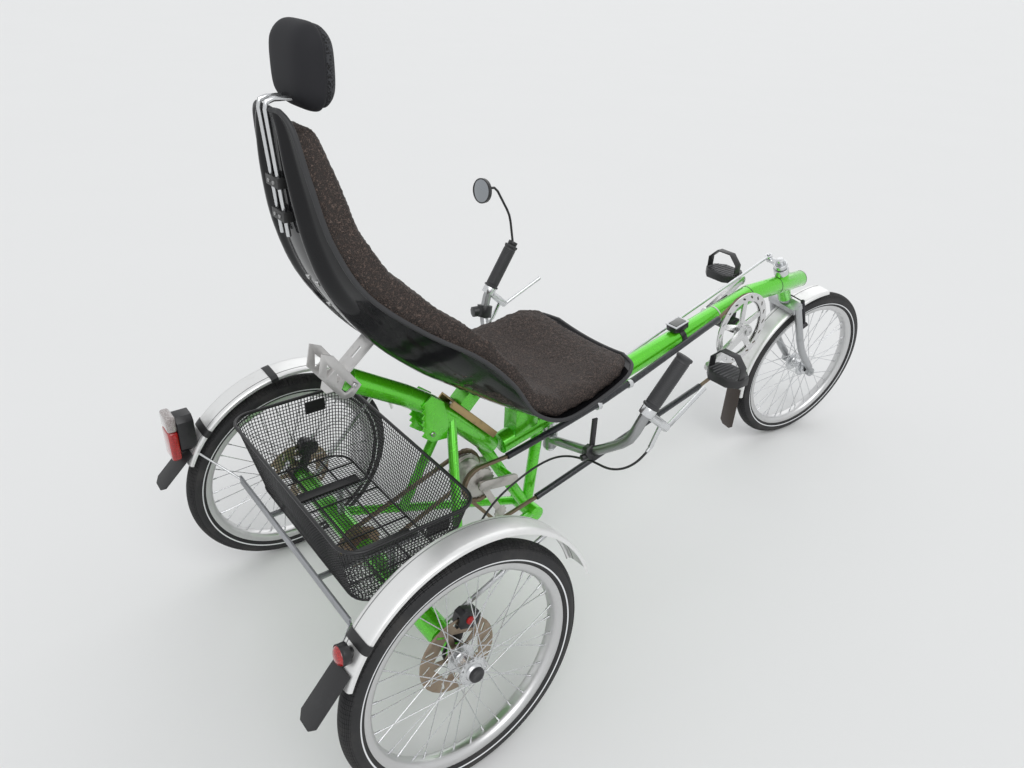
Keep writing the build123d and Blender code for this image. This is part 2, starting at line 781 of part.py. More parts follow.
def gear_hub():
    """Gear hub under the seat, with its two side plates and the chain tensioner."""
    shell = rod((gear_x, -34, gear_z), (gear_x, 12, gear_z), gear_shell_radius, 20)
    for y in (-36, 9):
        shell += rod((gear_x, y, gear_z), (gear_x, y + 4, gear_z), gear_shell_radius + 8, 20)
    shell += rod((gear_x, gear_plate_right, gear_z), (gear_x, gear_plate_left, gear_z), 6, 8)
    shell += sprocket(gear_x, gear_z, front_chain_y, gear_sprocket_radius, 22)
    shell += sprocket(gear_x, gear_z, second_chain_y, gear_sprocket_radius, 22)
    shell += rod((gear_x, front_chain_y, gear_z), (gear_x, second_chain_y, gear_z), 16, 10)
    place("gear_hub", shell)
    angle = math.degrees(math.atan2(gear_bar[1] - gear_z, gear_bar[0] - gear_x))
    length = math.hypot(gear_bar[1] - gear_z, gear_bar[0] - gear_x)
    plates = None
    for y in (gear_plate_left + 2.6, gear_plate_right - 2.6):
        plane = Plane(origin=(gear_x, y, gear_z), x_dir=(1, 0, 0), z_dir=(0, -1, 0))
        outline = Rot(0, 0, angle) * strap_outline(length, 26)
        plate = plane.location * Pos(0, 0, -2.5) * extrude(outline, 5)
        plates = plate if plates is None else plates + plate
    place("gear_plates", plates)
    arm_length = math.hypot(pulley_x - gear_x, pulley_z - gear_z)
    arm_angle = math.degrees(math.atan2(pulley_z - gear_z, pulley_x - gear_x))
    arm_plane = Plane(origin=(gear_x, tensioner_y, gear_z), x_dir=(1, 0, 0), z_dir=(0, -1, 0))
    arm = extrude(Rot(0, 0, arm_angle) * strap_outline(arm_length, 15), 3)
    arm = arm_plane.location * (arm - Pos(0, 0, -1) * prism(around(6.1, 8), 8, 8))
    arm += rod((pulley_x, tensioner_y, pulley_z), (pulley_x, front_chain_y + 2, pulley_z), 4, 8)
    arm += sprocket(pulley_x, pulley_z, front_chain_y, pulley_radius, 11)
    place("gear_plates", arm)


def left_of(angle):
    return Vector(-math.sin(angle), 0, math.cos(angle))


def heading(angle):
    return Vector(math.cos(angle), 0, math.sin(angle))


def chain_run(start, wheels, end, y):
    """Path from one point, round wheels that all lie to its left, to another point."""
    at = Vector(start[0], y, start[1])
    finish = Vector(end[0], y, end[1])
    pieces = []
    centres = [(Vector(x, y, z), radius) for x, z, radius in wheels]
    previous = None
    for index, (centre, radius) in enumerate(centres):
        if previous is None:
            gap = centre - at
            angle = math.atan2(gap.Z, gap.X) - math.asin(radius / gap.length)
        else:
            gap = centre - previous[0]
            angle = math.atan2(gap.Z, gap.X) - math.asin((radius - previous[1]) / gap.length)
        touch = centre - left_of(angle) * radius
        if previous is not None:
            leave = previous[0] - left_of(angle) * previous[1]
            pieces.append(arc_about(previous[0], previous[1], at, leave))
            at = leave
        pieces.append(Line(at, touch))
        at = touch
        previous = (centre, radius)
    gap = finish - previous[0]
    angle = math.atan2(gap.Z, gap.X) + math.asin(previous[1] / gap.length)
    leave = previous[0] - left_of(angle) * previous[1]
    pieces.append(arc_about(previous[0], previous[1], at, leave))
    pieces.append(Line(leave, finish))
    return Wire([piece.edge() for piece in pieces])


def arc_about(centre, radius, start, end):
    """Arc from start to end, turning left about its centre."""
    first = math.atan2(start.Z - centre.Z, start.X - centre.X)
    last = math.atan2(end.Z - centre.Z, end.X - centre.X)
    if last <= first:
        last += 2 * math.pi
    middle = centre + heading((first + last) / 2) * radius
    return ThreePointArc(start, middle, end)


def chain_band(path):
    start = Plane(origin=path @ 0, x_dir=(0, 1, 0), z_dir=path % 0)
    return sweep(start * Rectangle(chain_width, chain_height), path=path)


def chains():
    """Chain round the chainring and the gear hub, its two guide tubes, and the chain to the axle."""
    y = front_chain_y
    lift = chain_height / 2 + chain_gap
    front = chain_run(lower_tube_front, [(crank_x, crank_z, ring_radius + lift)], upper_tube_front, y)
    rear = chain_run(
        upper_tube_rear,
        [(gear_x, gear_z, gear_sprocket_radius + lift), (pulley_x, pulley_z, pulley_radius + lift)],
        lower_tube_rear, y)
    place("chains", chain_band(front))
    place("chains", chain_band(rear))
    place("chains", axle_chain())
    upper_points = [(p[0], y, p[1]) for p in (upper_tube_rear, upper_tube_knee, upper_tube_front)]
    upper = eased(upper_points, chain_tube_ease)
    lower = [(p[0], y, p[1]) for p in (lower_tube_rear, lower_tube_front)]
    for path in (upper, lower):
        inside = barrel(path, chain_tube_radius - chain_tube_wall, 10)
        place("chain_tubes", barrel(path, chain_tube_radius, 10) - inside)
    for x in tube_clip_places:
        z = upper_tube_height(x)
        ring = rod((x - 6, y, z), (x + 6, y, z), chain_tube_radius + 3, 10)
        arm = rod((x, y, z), (x, -boom_radius * 0.6, boom_height(x)), 4, 6)
        clip = ring + arm - barrel(upper, chain_tube_radius + 0.05, 10)
        place("tube_clips", clip - boom_solid(boom_radius + 0.05))


def axle_chain():
    """Closed loop of chain from the gear hub to the axle sprocket."""
    lift = chain_height / 2 + chain_gap
    half = chain_height / 2
    outer = [Pos(gear_x, gear_z) * Circle(gear_sprocket_radius + lift + half),
             Pos(0, rear_hub_z) * Circle(axle_sprocket_radius + lift + half)]
    inner = [Pos(gear_x, gear_z) * Circle(gear_sprocket_radius + lift - half),
             Pos(0, rear_hub_z) * Circle(axle_sprocket_radius + lift - half)]
    loop = make_hull(outer[0].edges() + outer[1].edges()) - make_hull(inner[0].edges() + inner[1].edges())
    plane = Plane(origin=(0, second_chain_y + chain_width / 2, 0), x_dir=(1, 0, 0), z_dir=(0, -1, 0))
    return plane.location * extrude(loop, chain_width)


def upper_tube_height(x):
    start, knee, end = (upper_tube_rear, upper_tube_knee, upper_tube_front)
    first, last = (start, knee) if x < knee[0] else (knee, end)
    return first[1] + (x - first[0]) * (last[1] - first[1]) / (last[0] - first[0])


def crank_drive():
    """Bottom bracket, cranks with chainring and guard, and the two pedals."""
    centre = Vector(crank_x, 0, crank_z)
    shell = rod((crank_x, -34, crank_z), (crank_x, 34, crank_z), 21, 16)
    boom_low = boom_height(crank_x)
    post = Pos(crank_x, 0, (crank_z + boom_low) / 2) * Box(40, 30, boom_low - crank_z)
    bore = rod((crank_x, -35, crank_z), (crank_x, 35, crank_z), spindle_radius + bearing_fit)
    place("bottom_bracket", shell + post - boom_solid(boom_radius) - bore)
    spin = math.radians(crank_angle)
    reach = heading(spin) * crank_length
    body = rod((crank_x, -crank_half, crank_z), (crank_x, crank_half, crank_z), spindle_radius)
    body += chainring()
    for side, name in SIDES:
        y = side * (crank_half + 6)
        tip = centre + reach * -side + Vector(0, y, 0)
        root, end, thick = crank_arm
        arm_plane = Plane(origin=(crank_x, y, crank_z), x_dir=reach * -side, z_dir=(0, -1, 0))
        outline = [(0, -root / 2), (crank_length, -end / 2), (crank_length, end / 2), (0, root / 2)]
        arm = Pos(0, 0, -thick / 2) * extrude(make_face(Polyline(*outline, close=True)), thick)
        body += arm_plane.location * arm
        body += rod((tip.X, y - 7, tip.Z), (tip.X, y + 7, tip.Z), 13, 10)
        inner = crank_half - 18 if side < 0 else crank_half - 2
        body += rod((crank_x, side * inner, crank_z), (crank_x, side * (crank_half + 13), crank_z), 16, 10)
        spindle_end = side * (pedal_half + pedal_length / 2 - 6)
        body += rod((tip.X, y, tip.Z), (tip.X, spindle_end, tip.Z), pedal_pin_radius)
        pedal = Pos(tip.X, side * pedal_half, tip.Z) * Box(pedal_width, pedal_length, pedal_height)
        pedal = chamfer(pedal.edges().filter_by(Axis.Z), pedal_corner)
        pedal -= rod((tip.X, side * 60, tip.Z), (tip.X, spindle_end, tip.Z), pedal_pin_radius + bearing_fit)
        place(f"pedal_{name}", pedal)
        low = tip.Z + pedal_height / 2 + seat_gap
        place(f"pedal_{name}", Pos(tip.X - 8, side * pedal_half, low) * pedal_strap())
    place("crankset", body)


def chainring():
    """Toothed ring on a five-armed spider, with its slotted guard outside."""
    ring = sprocket(crank_x, crank_z, front_chain_y, ring_radius, ring_teeth, ((0.0, 0), (0.35, 1), (0.65, 1)))
    ring -= rod((crank_x, -80, crank_z), (crank_x, 0, crank_z), ring_radius - 14, 30)
    spider = RegularPolygon(24, 10)
    for index in range(5):
        spider += Rot(0, 0, 72 * index + 20) * Pos(ring_radius / 2 - 3, 0) * Rectangle(ring_radius - 10, 16)
    guard = RegularPolygon(guard_radius, 36) - RegularPolygon(guard_radius - guard_width, 30)
    long, wide, slant = guard_slot
    for index in range(guard_slots):
        guard -= Rot(0, 0, 360 / guard_slots * index) * Pos(guard_radius - guard_width / 2, 0) * Rot(
            0, 0, slant) * Rectangle(long, wide)
    plane = Plane(origin=(crank_x, front_chain_y, crank_z), x_dir=(1, 0, 0), z_dir=(0, -1, 0))
    ring += plane.location * Pos(0, 0, -1.5) * extrude(spider, chain_width / 2 + 3)
    return ring + plane.location * Pos(0, 0, chain_width / 2 + 1) * extrude(guard, 3)


def pedal_strap():
    """Strap that arches over the pedal from side to side."""
    half = pedal_length / 2 - 3
    points = []
    for inset, turn in ((0, 1), (3, -1)):
        side = half - inset
        top = strap_height - inset
        cut = strap_corner - inset / 2
        path = [(-side, 0), (-side, top - cut), (cut - side, top), (side - cut, top), (side, top - cut), (side, 0)]
        points += path[::turn]
    face = make_face(Polyline(*[(-strap_width / 2, y, z) for y, z in points], close=True))
    return extrude(face, strap_width, dir=(1, 0, 0))


def seat_plane(index):
    """Section plane of the seat at one station, with local Y out of the sitting side."""
    x, z = seat_stations[index][:2]
    before = seat_stations[max(index - 1, 0)]
    after = seat_stations[min(index + 1, len(seat_stations) - 1)]
    along = Vector(after[0] - before[0], 0, after[1] - before[1])
    return Plane(origin=(x, 0, z), x_dir=(0, 1, 0), z_dir=along)


def seat_columns(index):
    """Distances from the middle to the edge at one station, with the height of the shell there."""
    half, rise, mat, ridge = seat_stations[index][2:]
    inner = half - seat_rim
    groove = min(seat_groove_half, 0.45 * inner)
    top = min(seat_ridge_half, 0.65 * inner)
    places = ((groove, 0), (top, ridge), ((top + inner) / 2, 0), (inner, 0), (half, 0))
    return [(y, rise * (y / half) ** 2 - depth) for y, depth in places]


def seat_ring(index, low, high):
    """Ring of points round the seat at one station, from its lower and its upper line of points."""
    plane = seat_plane(index)
    ring = [(-y, h) for y, h in reversed(low)] + low
    ring += [(y, h) for y, h in reversed(high)] + [(-y, h) for y, h in high]
    return [plane.from_local_coords(Vector(y, h, 0)) for y, h in ring]


def shell_solid(below=0.0, above=0.0):
    """The seat shell, or the same shell grown through its thickness."""
    rings = []
    for index in range(len(seat_stations)):
        columns = seat_columns(index)
        columns[-1] = (columns[-1][0] + below, columns[-1][1])
        low = [(y, h - below) for y, h in columns]
        high = [(y, h + seat_wall + above) for y, h in columns]
        rings.append(seat_ring(index, low, high))
    return faceted(rings, split=True)


def mat_solid():
    """The thick mat that lies in the shell, thinner towards its edges."""
    rings = []
    for index in range(1, len(seat_stations) - 1):
        half, rise, mat, ridge = seat_stations[index][2:]
        columns = seat_columns(index)[:-1]
        low = [(y, h + seat_wall + mat_lift) for y, h in columns]
        high = [(y, rise * (y / half) ** 2 + seat_wall + mat * share) for (y, h), share in zip(columns, mat_shares)]
        rings.append(seat_ring(index, low, high))
    return faceted(rings, split=True)


def seat():
    """Hard shell, the thick mat that lies in it, and what holds the shell to the frame."""
    place("seat_shell", shell_solid())
    grown = shell_solid(seat_gap, seat_gap)
    place("seat_mat", mat_solid())

    slope = math.degrees(math.atan2(arch_knee[1] - arch_foot[1], arch_foot[0] - arch_knee[0]))
    along = Vector(arch_foot[0] - arch_knee[0], 0, arch_foot[1] - arch_knee[1]).normalized()
    rail_mid = Vector(rail_x, 0, arch_foot[1] + (arch_foot[0] - rail_x) * math.tan(math.radians(slope)))
    rail_plane = Plane(origin=rail_mid, x_dir=along, z_dir=Vector(-along.Z, 0, along.X))
    rail = Pos(0, 0, arch_radius - 6) * Box(rail_length, rail_width, rail_height, align=ON_BASE)
    rail -= Pos(0, 0, arch_radius - 7) * Box(rail_length + 2, rail_width - 8, rail_height - 3, align=ON_BASE)
    rail -= Pos(0, 0, arch_radius) * extrude(Rectangle(rail_length - 40, 9), 30)
    place("seat_rail", rail_plane.location * rail - arch_solid(0.05))
    top = arch_radius - 6 + rail_height + seat_gap
    block = rail_plane.location * Pos(-rail_length / 4, 0, top) * Box(*seat_block, align=ON_BASE)
    place("seat_supports", trimmed_below(block, grown))
    post = Pos(seat_post_x, 0, boom_height(seat_post_x)) * Box(*seat_post, align=ON_BASE)
    place("seat_supports", trimmed_below(post - boom_solid(boom_radius), grown))
    place("seat_supports", toothed_clamp())
    place("backrest_bracket", back_bracket(grown))


def toothed_clamp():
    """Two plates with a toothed rear edge on the sides of the arch, and the bolt under it."""
    outline = list(tooth_plate)
    x, z = tooth_start
    for index in range(tooth_count):
        outline.append((x, z + index * tooth_pitch))
        outline.append((x + tooth_depth, z + (index + 0.5) * tooth_pitch))
    clamp = rod((150, -arch_radius - 8, 500), (150, arch_radius + 8, 500), 5, 6)
    for side, name in SIDES:
        start = side * (arch_radius + 0.05)
        face = make_face(Polyline(*[(px, start, pz) for px, pz in outline], close=True))
        clamp += extrude(face, back_plate_thickness, dir=(0, side, 0))
    return clamp


def back_bracket(shell):
    """Slotted strap from the shell to behind the arch, between two side plates with windows."""
    top = Vector(back_strap_top[0], 0, back_strap_top[1])
    low = Vector(back_strap_low[0], 0, back_strap_low[1])
    plane = Plane(origin=low, x_dir=top - low, z_dir=Vector(low.Z - top.Z, 0, top.X - low.X))
    outline = Rectangle((top - low).length, 2 * arch_radius, align=(Align.MIN, Align.CENTER))
    outline = chamfer(outline.vertices().sort_by(Axis.X)[:2], arch_radius / 2)
    for distance in back_strap_slots:
        outline -= Pos(distance, 0) * Rectangle(*back_strap_slot)
    bracket = plane.location * extrude(outline, back_plate_thickness)
    for side, name in SIDES:
        start = side * arch_radius
        plate = make_face(Polyline(*[(x, start, z) for x, z in back_plate], close=True))
        for window in back_windows:
            plate -= make_face(Polyline(*[(x, start, z) for x, z in window], close=True))
        bracket += extrude(plate, back_plate_thickness, dir=(0, side, 0))
    return (bracket - shell - arch_solid(0.05)).solids().sort_by(SortBy.VOLUME)[-1]


def trimmed_below(piece, shell):
    """What is left of a support under the seat shell."""
    rest = piece - shell
    return rest.solids().sort_by(Axis.Z)[0]


def headrest():
    """Padded headrest on two bent rods, clamped in two blocks on the back of the shell."""
    pad = Pos(*head_pad_centre) * Box(*head_pad_size)
    pad = chamfer(pad.edges(), head_pad_corner)
    shell = shell_solid(seat_gap, 0)
    bores = head_rods(0.05)
    place("headrest_pad", pad - head_rods(seat_gap))
    place("headrest_rods", head_rods())
    for z in head_clamp_heights:
        share = (z - head_rod_low[1]) / (head_rod_high - head_rod_low[1])
        x = head_rod_low[0] + share * (head_rod_top[0] - head_rod_low[0])
        block = Pos(x + 6, 0, z) * Box(26, 46, 16)
        place("headrest_clamps", (block - bores - shell).solids().sort_by(Axis.X)[0])


def head_rods(grow=0.0):
    """The two rods of the headrest, or their bores."""
    pieces = None
    for y in (-head_rod_y, head_rod_y):
        points = [(head_pad_centre[0], y, head_rod_high), (head_rod_top[0], y, head_rod_high),
                  (head_rod_low[0], y, head_rod_low[1])]
        piece = barrel(eased(points, 14), head_rod_radius + grow, 8)
        pieces = piece if pieces is None else pieces + piece
    return pieces


def basket():
    """Tapered mesh basket, open at the top, on its carrier over the axle."""
    outer = faceted([basket_ring(basket_floor_z, basket_taper, 0), basket_ring(basket_rim_z, 0, 0)])
    inner = faceted([basket_ring(basket_floor_z + basket_wall, basket_taper, basket_wall),
                     basket_ring(basket_rim_z + 1, 0, basket_wall)])
    place("basket", outer - inner)
    rail_z = basket_floor_z - carrier_radius - seat_gap
    carrier = Pos(basket_rear_x + 2, 0, basket_floor_z + 2) * Box(crossbar_thickness, 2 * crossbar_half, crossbar_height)
    axle = rod((0, -200, rear_hub_z), (0, 200, rear_hub_z), axle_tube_radius + 0.05)
    for y in (-carrier_half, carrier_half):
        carrier += rod((basket_rear_x + 2, y, rail_z), (basket_front_x - 40, y, rail_z), carrier_radius, 8)
        carrier += rod((0, y, rear_hub_z), (0, y, rail_z), 8, 8) - axle
    place("rear_carrier", carrier)


def basket_ring(z, inset, wall):
    """Outline of the basket at one height, its corners rounded in three edges."""
    rear = basket_rear_x + inset + wall
    front = basket_front_x - inset - wall
    half = basket_half - inset - wall
    corner = basket_corner - wall
    ring = []
    for x, y, first in ((front - corner, half - corner, 0), (rear + corner, half - corner, 90),
                        (rear + corner, corner - half, 180), (front - corner, corner - half, 270)):
        for step in range(4):
            turn = math.radians(first + 30 * step)
            ring.append(Vector(x + corner * math.cos(turn), y + corner * math.sin(turn), z))
    return ring


def fenders():
    """Rear fenders with their mudflaps, rear wires and tail lamps."""
    crossbar_x = basket_rear_x + 2
    crossbar_z = basket_floor_z + 2
    for side, name in SIDES:
        plane = fender_plane(side)
        over = Plane(origin=plane.origin, x_dir=(1, 0, 0), z_dir=plane.z_dir * -side)
        place("rear_fenders", fender(over, rear_fender_front, rear_fender_back))
        place("rear_flaps", flap(over, rear_fender_back - flap_lap, rear_flap_length, rear_flap_tilt))
        end = fender_point(side, fender_wire_angle, fender_radius - fender_lip + 2,
                           -fender_width / 2 - fender_wire_radius - seat_gap)
        beside_bar = (crossbar_x, side * (crossbar_half + wire_start), crossbar_z)
        place("fender_stays", rod(beside_bar, end, fender_wire_radius, 8))
        cut = plane.location * Cylinder(fender_radius + fender_thickness + seat_gap, 2 * fender_width)
        foot = Vector(*fender_point(side, lamp_angle, fender_radius, 0))
        tip = Vector(*fender_point(side, lamp_angle, fender_radius + lamp_stand, 0))
        stand = rod(foot, tip + Vector(-7, 0, 0), lamp_foot_radius, 10)
        if side > 0:
            deep, wide, tall = tall_lamp
            body = Pos(*tall_lamp_centre) * Box(deep, wide, tall)
            body = chamfer(body.edges().filter_by(Axis.X), lamp_foot_radius)
            behind = Pos(-(deep + tall_lens[0]) / 2 - seat_gap, 0, -tall_lens_drop)
            lens = Pos(*tall_lamp_centre) * behind * Box(*tall_lens)
            lens = chamfer(lens.edges().sort_by(Axis.X)[:4], tall_lens[0] / 3)
        else:
            lamp_plane = Plane(origin=tip, z_dir=(-1, 0, 0.1))
            body = lamp_plane.location * prism(lamp_radius, lamp_depth, 16)
            lens = lamp_plane.location * Pos(0, 0, lamp_depth + seat_gap) * prism(lamp_radius - 1, lens_depth, 16)
        place("lamp_bases", (body + stand - cut).solids().sort_by(SortBy.VOLUME)[-1])
        place("lamp_lenses", lens)


def bar_points(side):
    return [(bar_pivot_x, 0, bar_pivot_z)] + [
        (p[0], side * p[1], p[2]) for p in (bar_clamp, bar_elbow, bar_corner, bar_tip)]


def along_grip(distance, side):
    corner = Vector(bar_corner[0], side * bar_corner[1], bar_corner[2])
    tip = Vector(bar_tip[0], side * bar_tip[1], bar_tip[2])
    return corner + (tip - corner).normalized() * distance


def handlebar():
    """Under-seat bar on its pivot, with grips, levers, clamps and mirror."""
    up = bar_pivot_z + pivot_hub_up
    down = bar_pivot_z - pivot_hub_down
    bar = rod((bar_pivot_x, 0, down), (bar_pivot_x, 0, up), pivot_hub_radius, 16)
    for side, name in SIDES:
        bar += bar_tube(side, bar_radius)
        low = along_grip(grip_start, side)
        tip = Vector(bar_tip[0], side * bar_tip[1], bar_tip[2])
        end = tip + (tip - low).normalized() * 4
        grip = rod(low, end, grip_radius, 12) - rod(low, tip, around(bar_radius + grip_fit, 10), 10)
        place("grips", barred(grip))
        place("brake_levers", barred(brake_lever(side)))
    bore = rod((bar_pivot_x, 0, down - 20), (bar_pivot_x, 0, up + 20), pivot_pin_radius + bearing_fit)
    bar += bar_link_frame().location * bar_link_post()
    place("handlebar", barred(bar - bore))
    place("bar_clamps", barred(wire_clamp()))
    place("bar_clamps", barred(gear_control()))
    boom_z = boom_height(bar_pivot_x)
    pin = rod((bar_pivot_x, 0, down - 5), (bar_pivot_x, 0, boom_z), pivot_pin_radius)
    pin += rod((bar_pivot_x, 0, up + pivot_gap), (bar_pivot_x, 0, boom_z), 14, 12)
    pin += rod((bar_pivot_x, 0, down - 7), (bar_pivot_x, 0, down - pivot_gap), 14, 12)
    place("bar_pivot", pin - boom_solid(boom_radius + 0.05))
    place("mirror", barred(mirror()))
    place("steering_rod", steering_rod())


def bar_tube(side, radius):
    """One half of the bar, from the pivot to the tip of the grip."""
    return barrel(eased(bar_points(side), bar_ease), radius, 10)


def wire_clamp():
    """Clamp on the right half of the bar, with a flat strut that rises from it and a cable stop."""
    clamp = Vector(bar_clamp[0], -bar_clamp[1], bar_clamp[2])
    hub = Vector(bar_pivot_x, 0, bar_pivot_z)
    inwards = (hub - clamp).normalized()
    middle = clamp + inwards * bar_clamp_inset
    block = rod(middle - inwards * 12, middle + inwards * 12, bar_radius + 6, 8)
    foot = middle + Vector(0, 0, bar_radius)
    block += Pos(foot.X, foot.Y, foot.Z + bar_strut[2] / 2) * Box(*bar_strut)
    block += rod(middle + Vector(-24, 0, -8), middle + Vector(0, 0, -8), 7, 8)
    return block - bar_tube(-1, bar_radius + grip_fit)


def gear_control():
    """Gear control and lever body clamped on the left half of the bar below the grip."""
    elbow = Vector(*bar_elbow)
    corner = Vector(*bar_corner)
    up = (corner - elbow).normalized()
    middle = elbow + (corner - elbow) * 0.35
    block = rod(middle - up * 15, middle + up * 15, bar_radius + 9, 8)
    block += rod(middle + Vector(-30, 6, 0), middle + Vector(0, 6, 0), 14, 8)
    return block - bar_tube(1, bar_radius + grip_fit)


def bar_link_frame():
    """Frame at the foot of the steering rod's pin on the bar, straight beside the pivot, Z along that pin."""
    return Plane(origin=(bar_pivot_x, link_y, bar_link_z), x_dir=(1, 0, 0), z_dir=(0, -link_lean, 1))


def bar_link_post():
    """Boss and pin that carry the rear end of the steering rod."""
    post = Pos(-link_eye_radius / 2, 0, 0) * Box(
        2 * link_eye_radius, 2 * link_eye_radius - 2, bar_radius + link_seat, align=ON_BASE)
    return post + Cylinder(link_pin_radius, bar_radius + link_seat + link_pin_height, align=ON_BASE)


def steering_rod():
    """Steering rod from the pin on the bar to the open joint round the pin on the steering arm."""
    seat_z = bar_radius + link_seat + link_gap
    rear_eye = Pos(0, 0, seat_z) * prism(link_eye_radius, link_eye_height, 10)
    rear_hole = Cylinder(link_pin_radius + bearing_fit, 40, align=ON_BASE)
    rear_frame = bar_link_frame().location
    rear_eye = barred(rear_frame * rear_eye)
    rear_hole = barred(rear_frame * rear_hole)
    front_frame = link_frame(link_arm_drop - link_gap).location * Pos(fork_link_y, 0, 0)
    front_eye = steered(front_frame * prism(link_head_radius, link_eye_height, 12))
    front_hole = steered(front_frame * Cylinder(link_pin_radius + link_open, 40))
    bar = rod(rear_eye.center(), front_eye.center(), link_radius, 8)
    return bar + rear_eye + front_eye - rear_hole - front_hole


def brake_lever(side):
    """Lever clamp and body below the grip, with its blade in front."""
    ring = rod(along_grip(lever_ring_start, side), along_grip(grip_start - 1, side), bar_radius + 5, 10)
    root = along_grip(lever_ring_start + 5, side)
    knuckle = Vector(lever_root[0], side * lever_root[1], lever_root[2])
    tip = Vector(lever_tip[0], side * lever_tip[1], lever_tip[2])
    away = (knuckle - root).normalized()
    body = rod(root + away * (bar_radius + 2), knuckle, 9, 8)
    barrel_tip = Vector(lever_barrel[0], side * lever_barrel[1], lever_barrel[2])
    body += rod(knuckle - away * 18, barrel_tip, 5, 8)
    return ring + body + rod(knuckle, tip, 5, 6) - bar_tube(side, bar_radius + grip_fit)


def mirror():
    """Round mirror on a bent stalk above the left grip."""
    low = along_grip(grip_start, 1)
    tip = Vector(*bar_tip)
    along = (tip - low).normalized()
    foot = tip + along * 4.3
    plug = rod(foot, foot + along * 10, 12, 10)
    points = [foot + along * 6] + [Vector(*p) for p in mirror_stalk] + [Vector(*mirror_centre)]
    stalk = barrel(eased(points, 18, 2), 3, 8)
    head_plane = Plane(origin=Vector(*mirror_centre), z_dir=Vector(-1, -0.25, 0.1))
    glass = head_plane.location * Pos(0, 0, -4.5) * prism(mirror_radius, 9, 24)
    return plug + stalk + glass


def computer():
    """Small handlebar computer strapped on top of the boom."""
    slope = math.degrees(math.atan2(boom_knee[1] - boom_rear[1], boom_knee[0] - boom_rear[0]))
    spot = Pos(computer_x, 0, boom_height(computer_x)) * Rot(0, -slope, 0)
    ring = Rot(0, 90, 0) * Pos(0, 0, -8) * prism(boom_radius + 3, 16, 18)
    bore = Rot(0, 90, 0) * Pos(0, 0, -9) * prism(around(boom_radius + 0.05, 18), 18, 18)
    box = Pos(0, 0, boom_radius + 10) * chamfer(Box(52, 40, 14).edges().filter_by(Axis.Z), 7)
    place("bike_computer", spot * (box + ring - bore))


def front_brake():
    """Rim brake arms on the fork, one each side of the rim, joined by their cable."""
    cable_y = fork_leg_spread - 12
    brake = rod(head_point(fork_crown_drop + 8, brake_cable_reach, cable_y),
                head_point(fork_crown_drop + 8, brake_cable_reach, -cable_y), 2, 6)
    for side, name in SIDES:
        low = head_point(fork_crown_drop + 88, fork_leg_radius + 7, side * (fork_leg_spread - 4))
        high = head_point(fork_crown_drop + 4, brake_cable_reach, side * cable_y)
        boss_root = head_point(fork_crown_drop + 88, 0, side * fork_leg_spread)
        boss_end = head_point(fork_crown_drop + 88, fork_leg_radius + 14, side * fork_leg_spread)
        pad_out = head_point(fork_crown_drop + 66, fork_leg_radius + 9, side * (fork_leg_spread - 6))
        pad_in = head_point(fork_crown_drop + 66, fork_leg_radius + 9, side * (rim_width / 2 + 12))
        brake += rod(low, high, 6, 6) + rod(boss_root, boss_end, 7, 8) + rod(pad_out, pad_in, 5, 6)
        brake -= fork_leg(side, 0.05)
    place("front_brake", steered(brake))


origin_x = whole_length_middle()
rear_wheels()
axle_carrier()
frame()
front_end()
front_brake()
crank_drive()
gear_hub()
chains()
seat()
headrest()
basket()
fenders()
handlebar()
computer()

for name, pieces in nodes.items():
    solids = [solid for piece in pieces for solid in piece.solids()]
    shape = solids[0] if len(solids) == 1 else Compound(solids)
    export_step(shape, f"parts/{name}.step")
    print(name, len(solids), round(shape.volume))
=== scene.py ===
import json
import math

import bpy
from mathutils import Matrix, Vector, noise


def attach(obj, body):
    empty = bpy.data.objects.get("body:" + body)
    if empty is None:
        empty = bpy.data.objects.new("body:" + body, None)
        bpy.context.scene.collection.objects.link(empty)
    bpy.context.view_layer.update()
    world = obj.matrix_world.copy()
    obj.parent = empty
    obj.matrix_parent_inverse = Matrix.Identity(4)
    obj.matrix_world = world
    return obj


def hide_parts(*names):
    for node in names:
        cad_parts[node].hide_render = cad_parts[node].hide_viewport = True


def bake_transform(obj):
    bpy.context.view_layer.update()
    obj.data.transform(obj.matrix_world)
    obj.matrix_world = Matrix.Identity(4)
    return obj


bl_info = {
    "name": "Recumbent delta tricycle",
    "version": (1, 0, 0),
    "blender": (4, 5, 0),
    "location": "View3D > Sidebar > Tricycle",
    "description": "Finishes the packed tricycle, from its paint and wheels to its seat and basket",
    "category": "Object",
}

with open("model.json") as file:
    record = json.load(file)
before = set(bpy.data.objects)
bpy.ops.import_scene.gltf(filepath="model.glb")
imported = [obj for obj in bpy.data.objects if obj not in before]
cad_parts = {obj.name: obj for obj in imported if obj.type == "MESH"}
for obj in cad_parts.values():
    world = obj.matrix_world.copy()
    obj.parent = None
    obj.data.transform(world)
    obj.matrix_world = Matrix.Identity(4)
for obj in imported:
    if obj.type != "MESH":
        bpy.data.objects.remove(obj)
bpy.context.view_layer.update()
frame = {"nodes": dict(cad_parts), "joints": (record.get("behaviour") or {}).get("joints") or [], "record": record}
BODY_OF = {node: body for body, members in frame["record"]["behaviour"]["bodies"].items()
           for node in members}
SPIN = {joint["child"]: (Vector(joint["pos_m"]), Vector(joint["axis"])) for joint in frame["joints"]}
SLOT_OF = {name: piece.data.materials[0].name for name, piece in frame["nodes"].items()}
ORIGIN = SPIN["rear_wheel_left"][0].x
PARKED = math.radians(-8.5)

# side of the tricycle and the body of its wheel
WHEELS = (
    ("left", "rear_wheel_left"),
    ("right", "rear_wheel_right"),
    ("front", "front_wheel"),
)
SIDES = ((1, "left"), (-1, "right"))

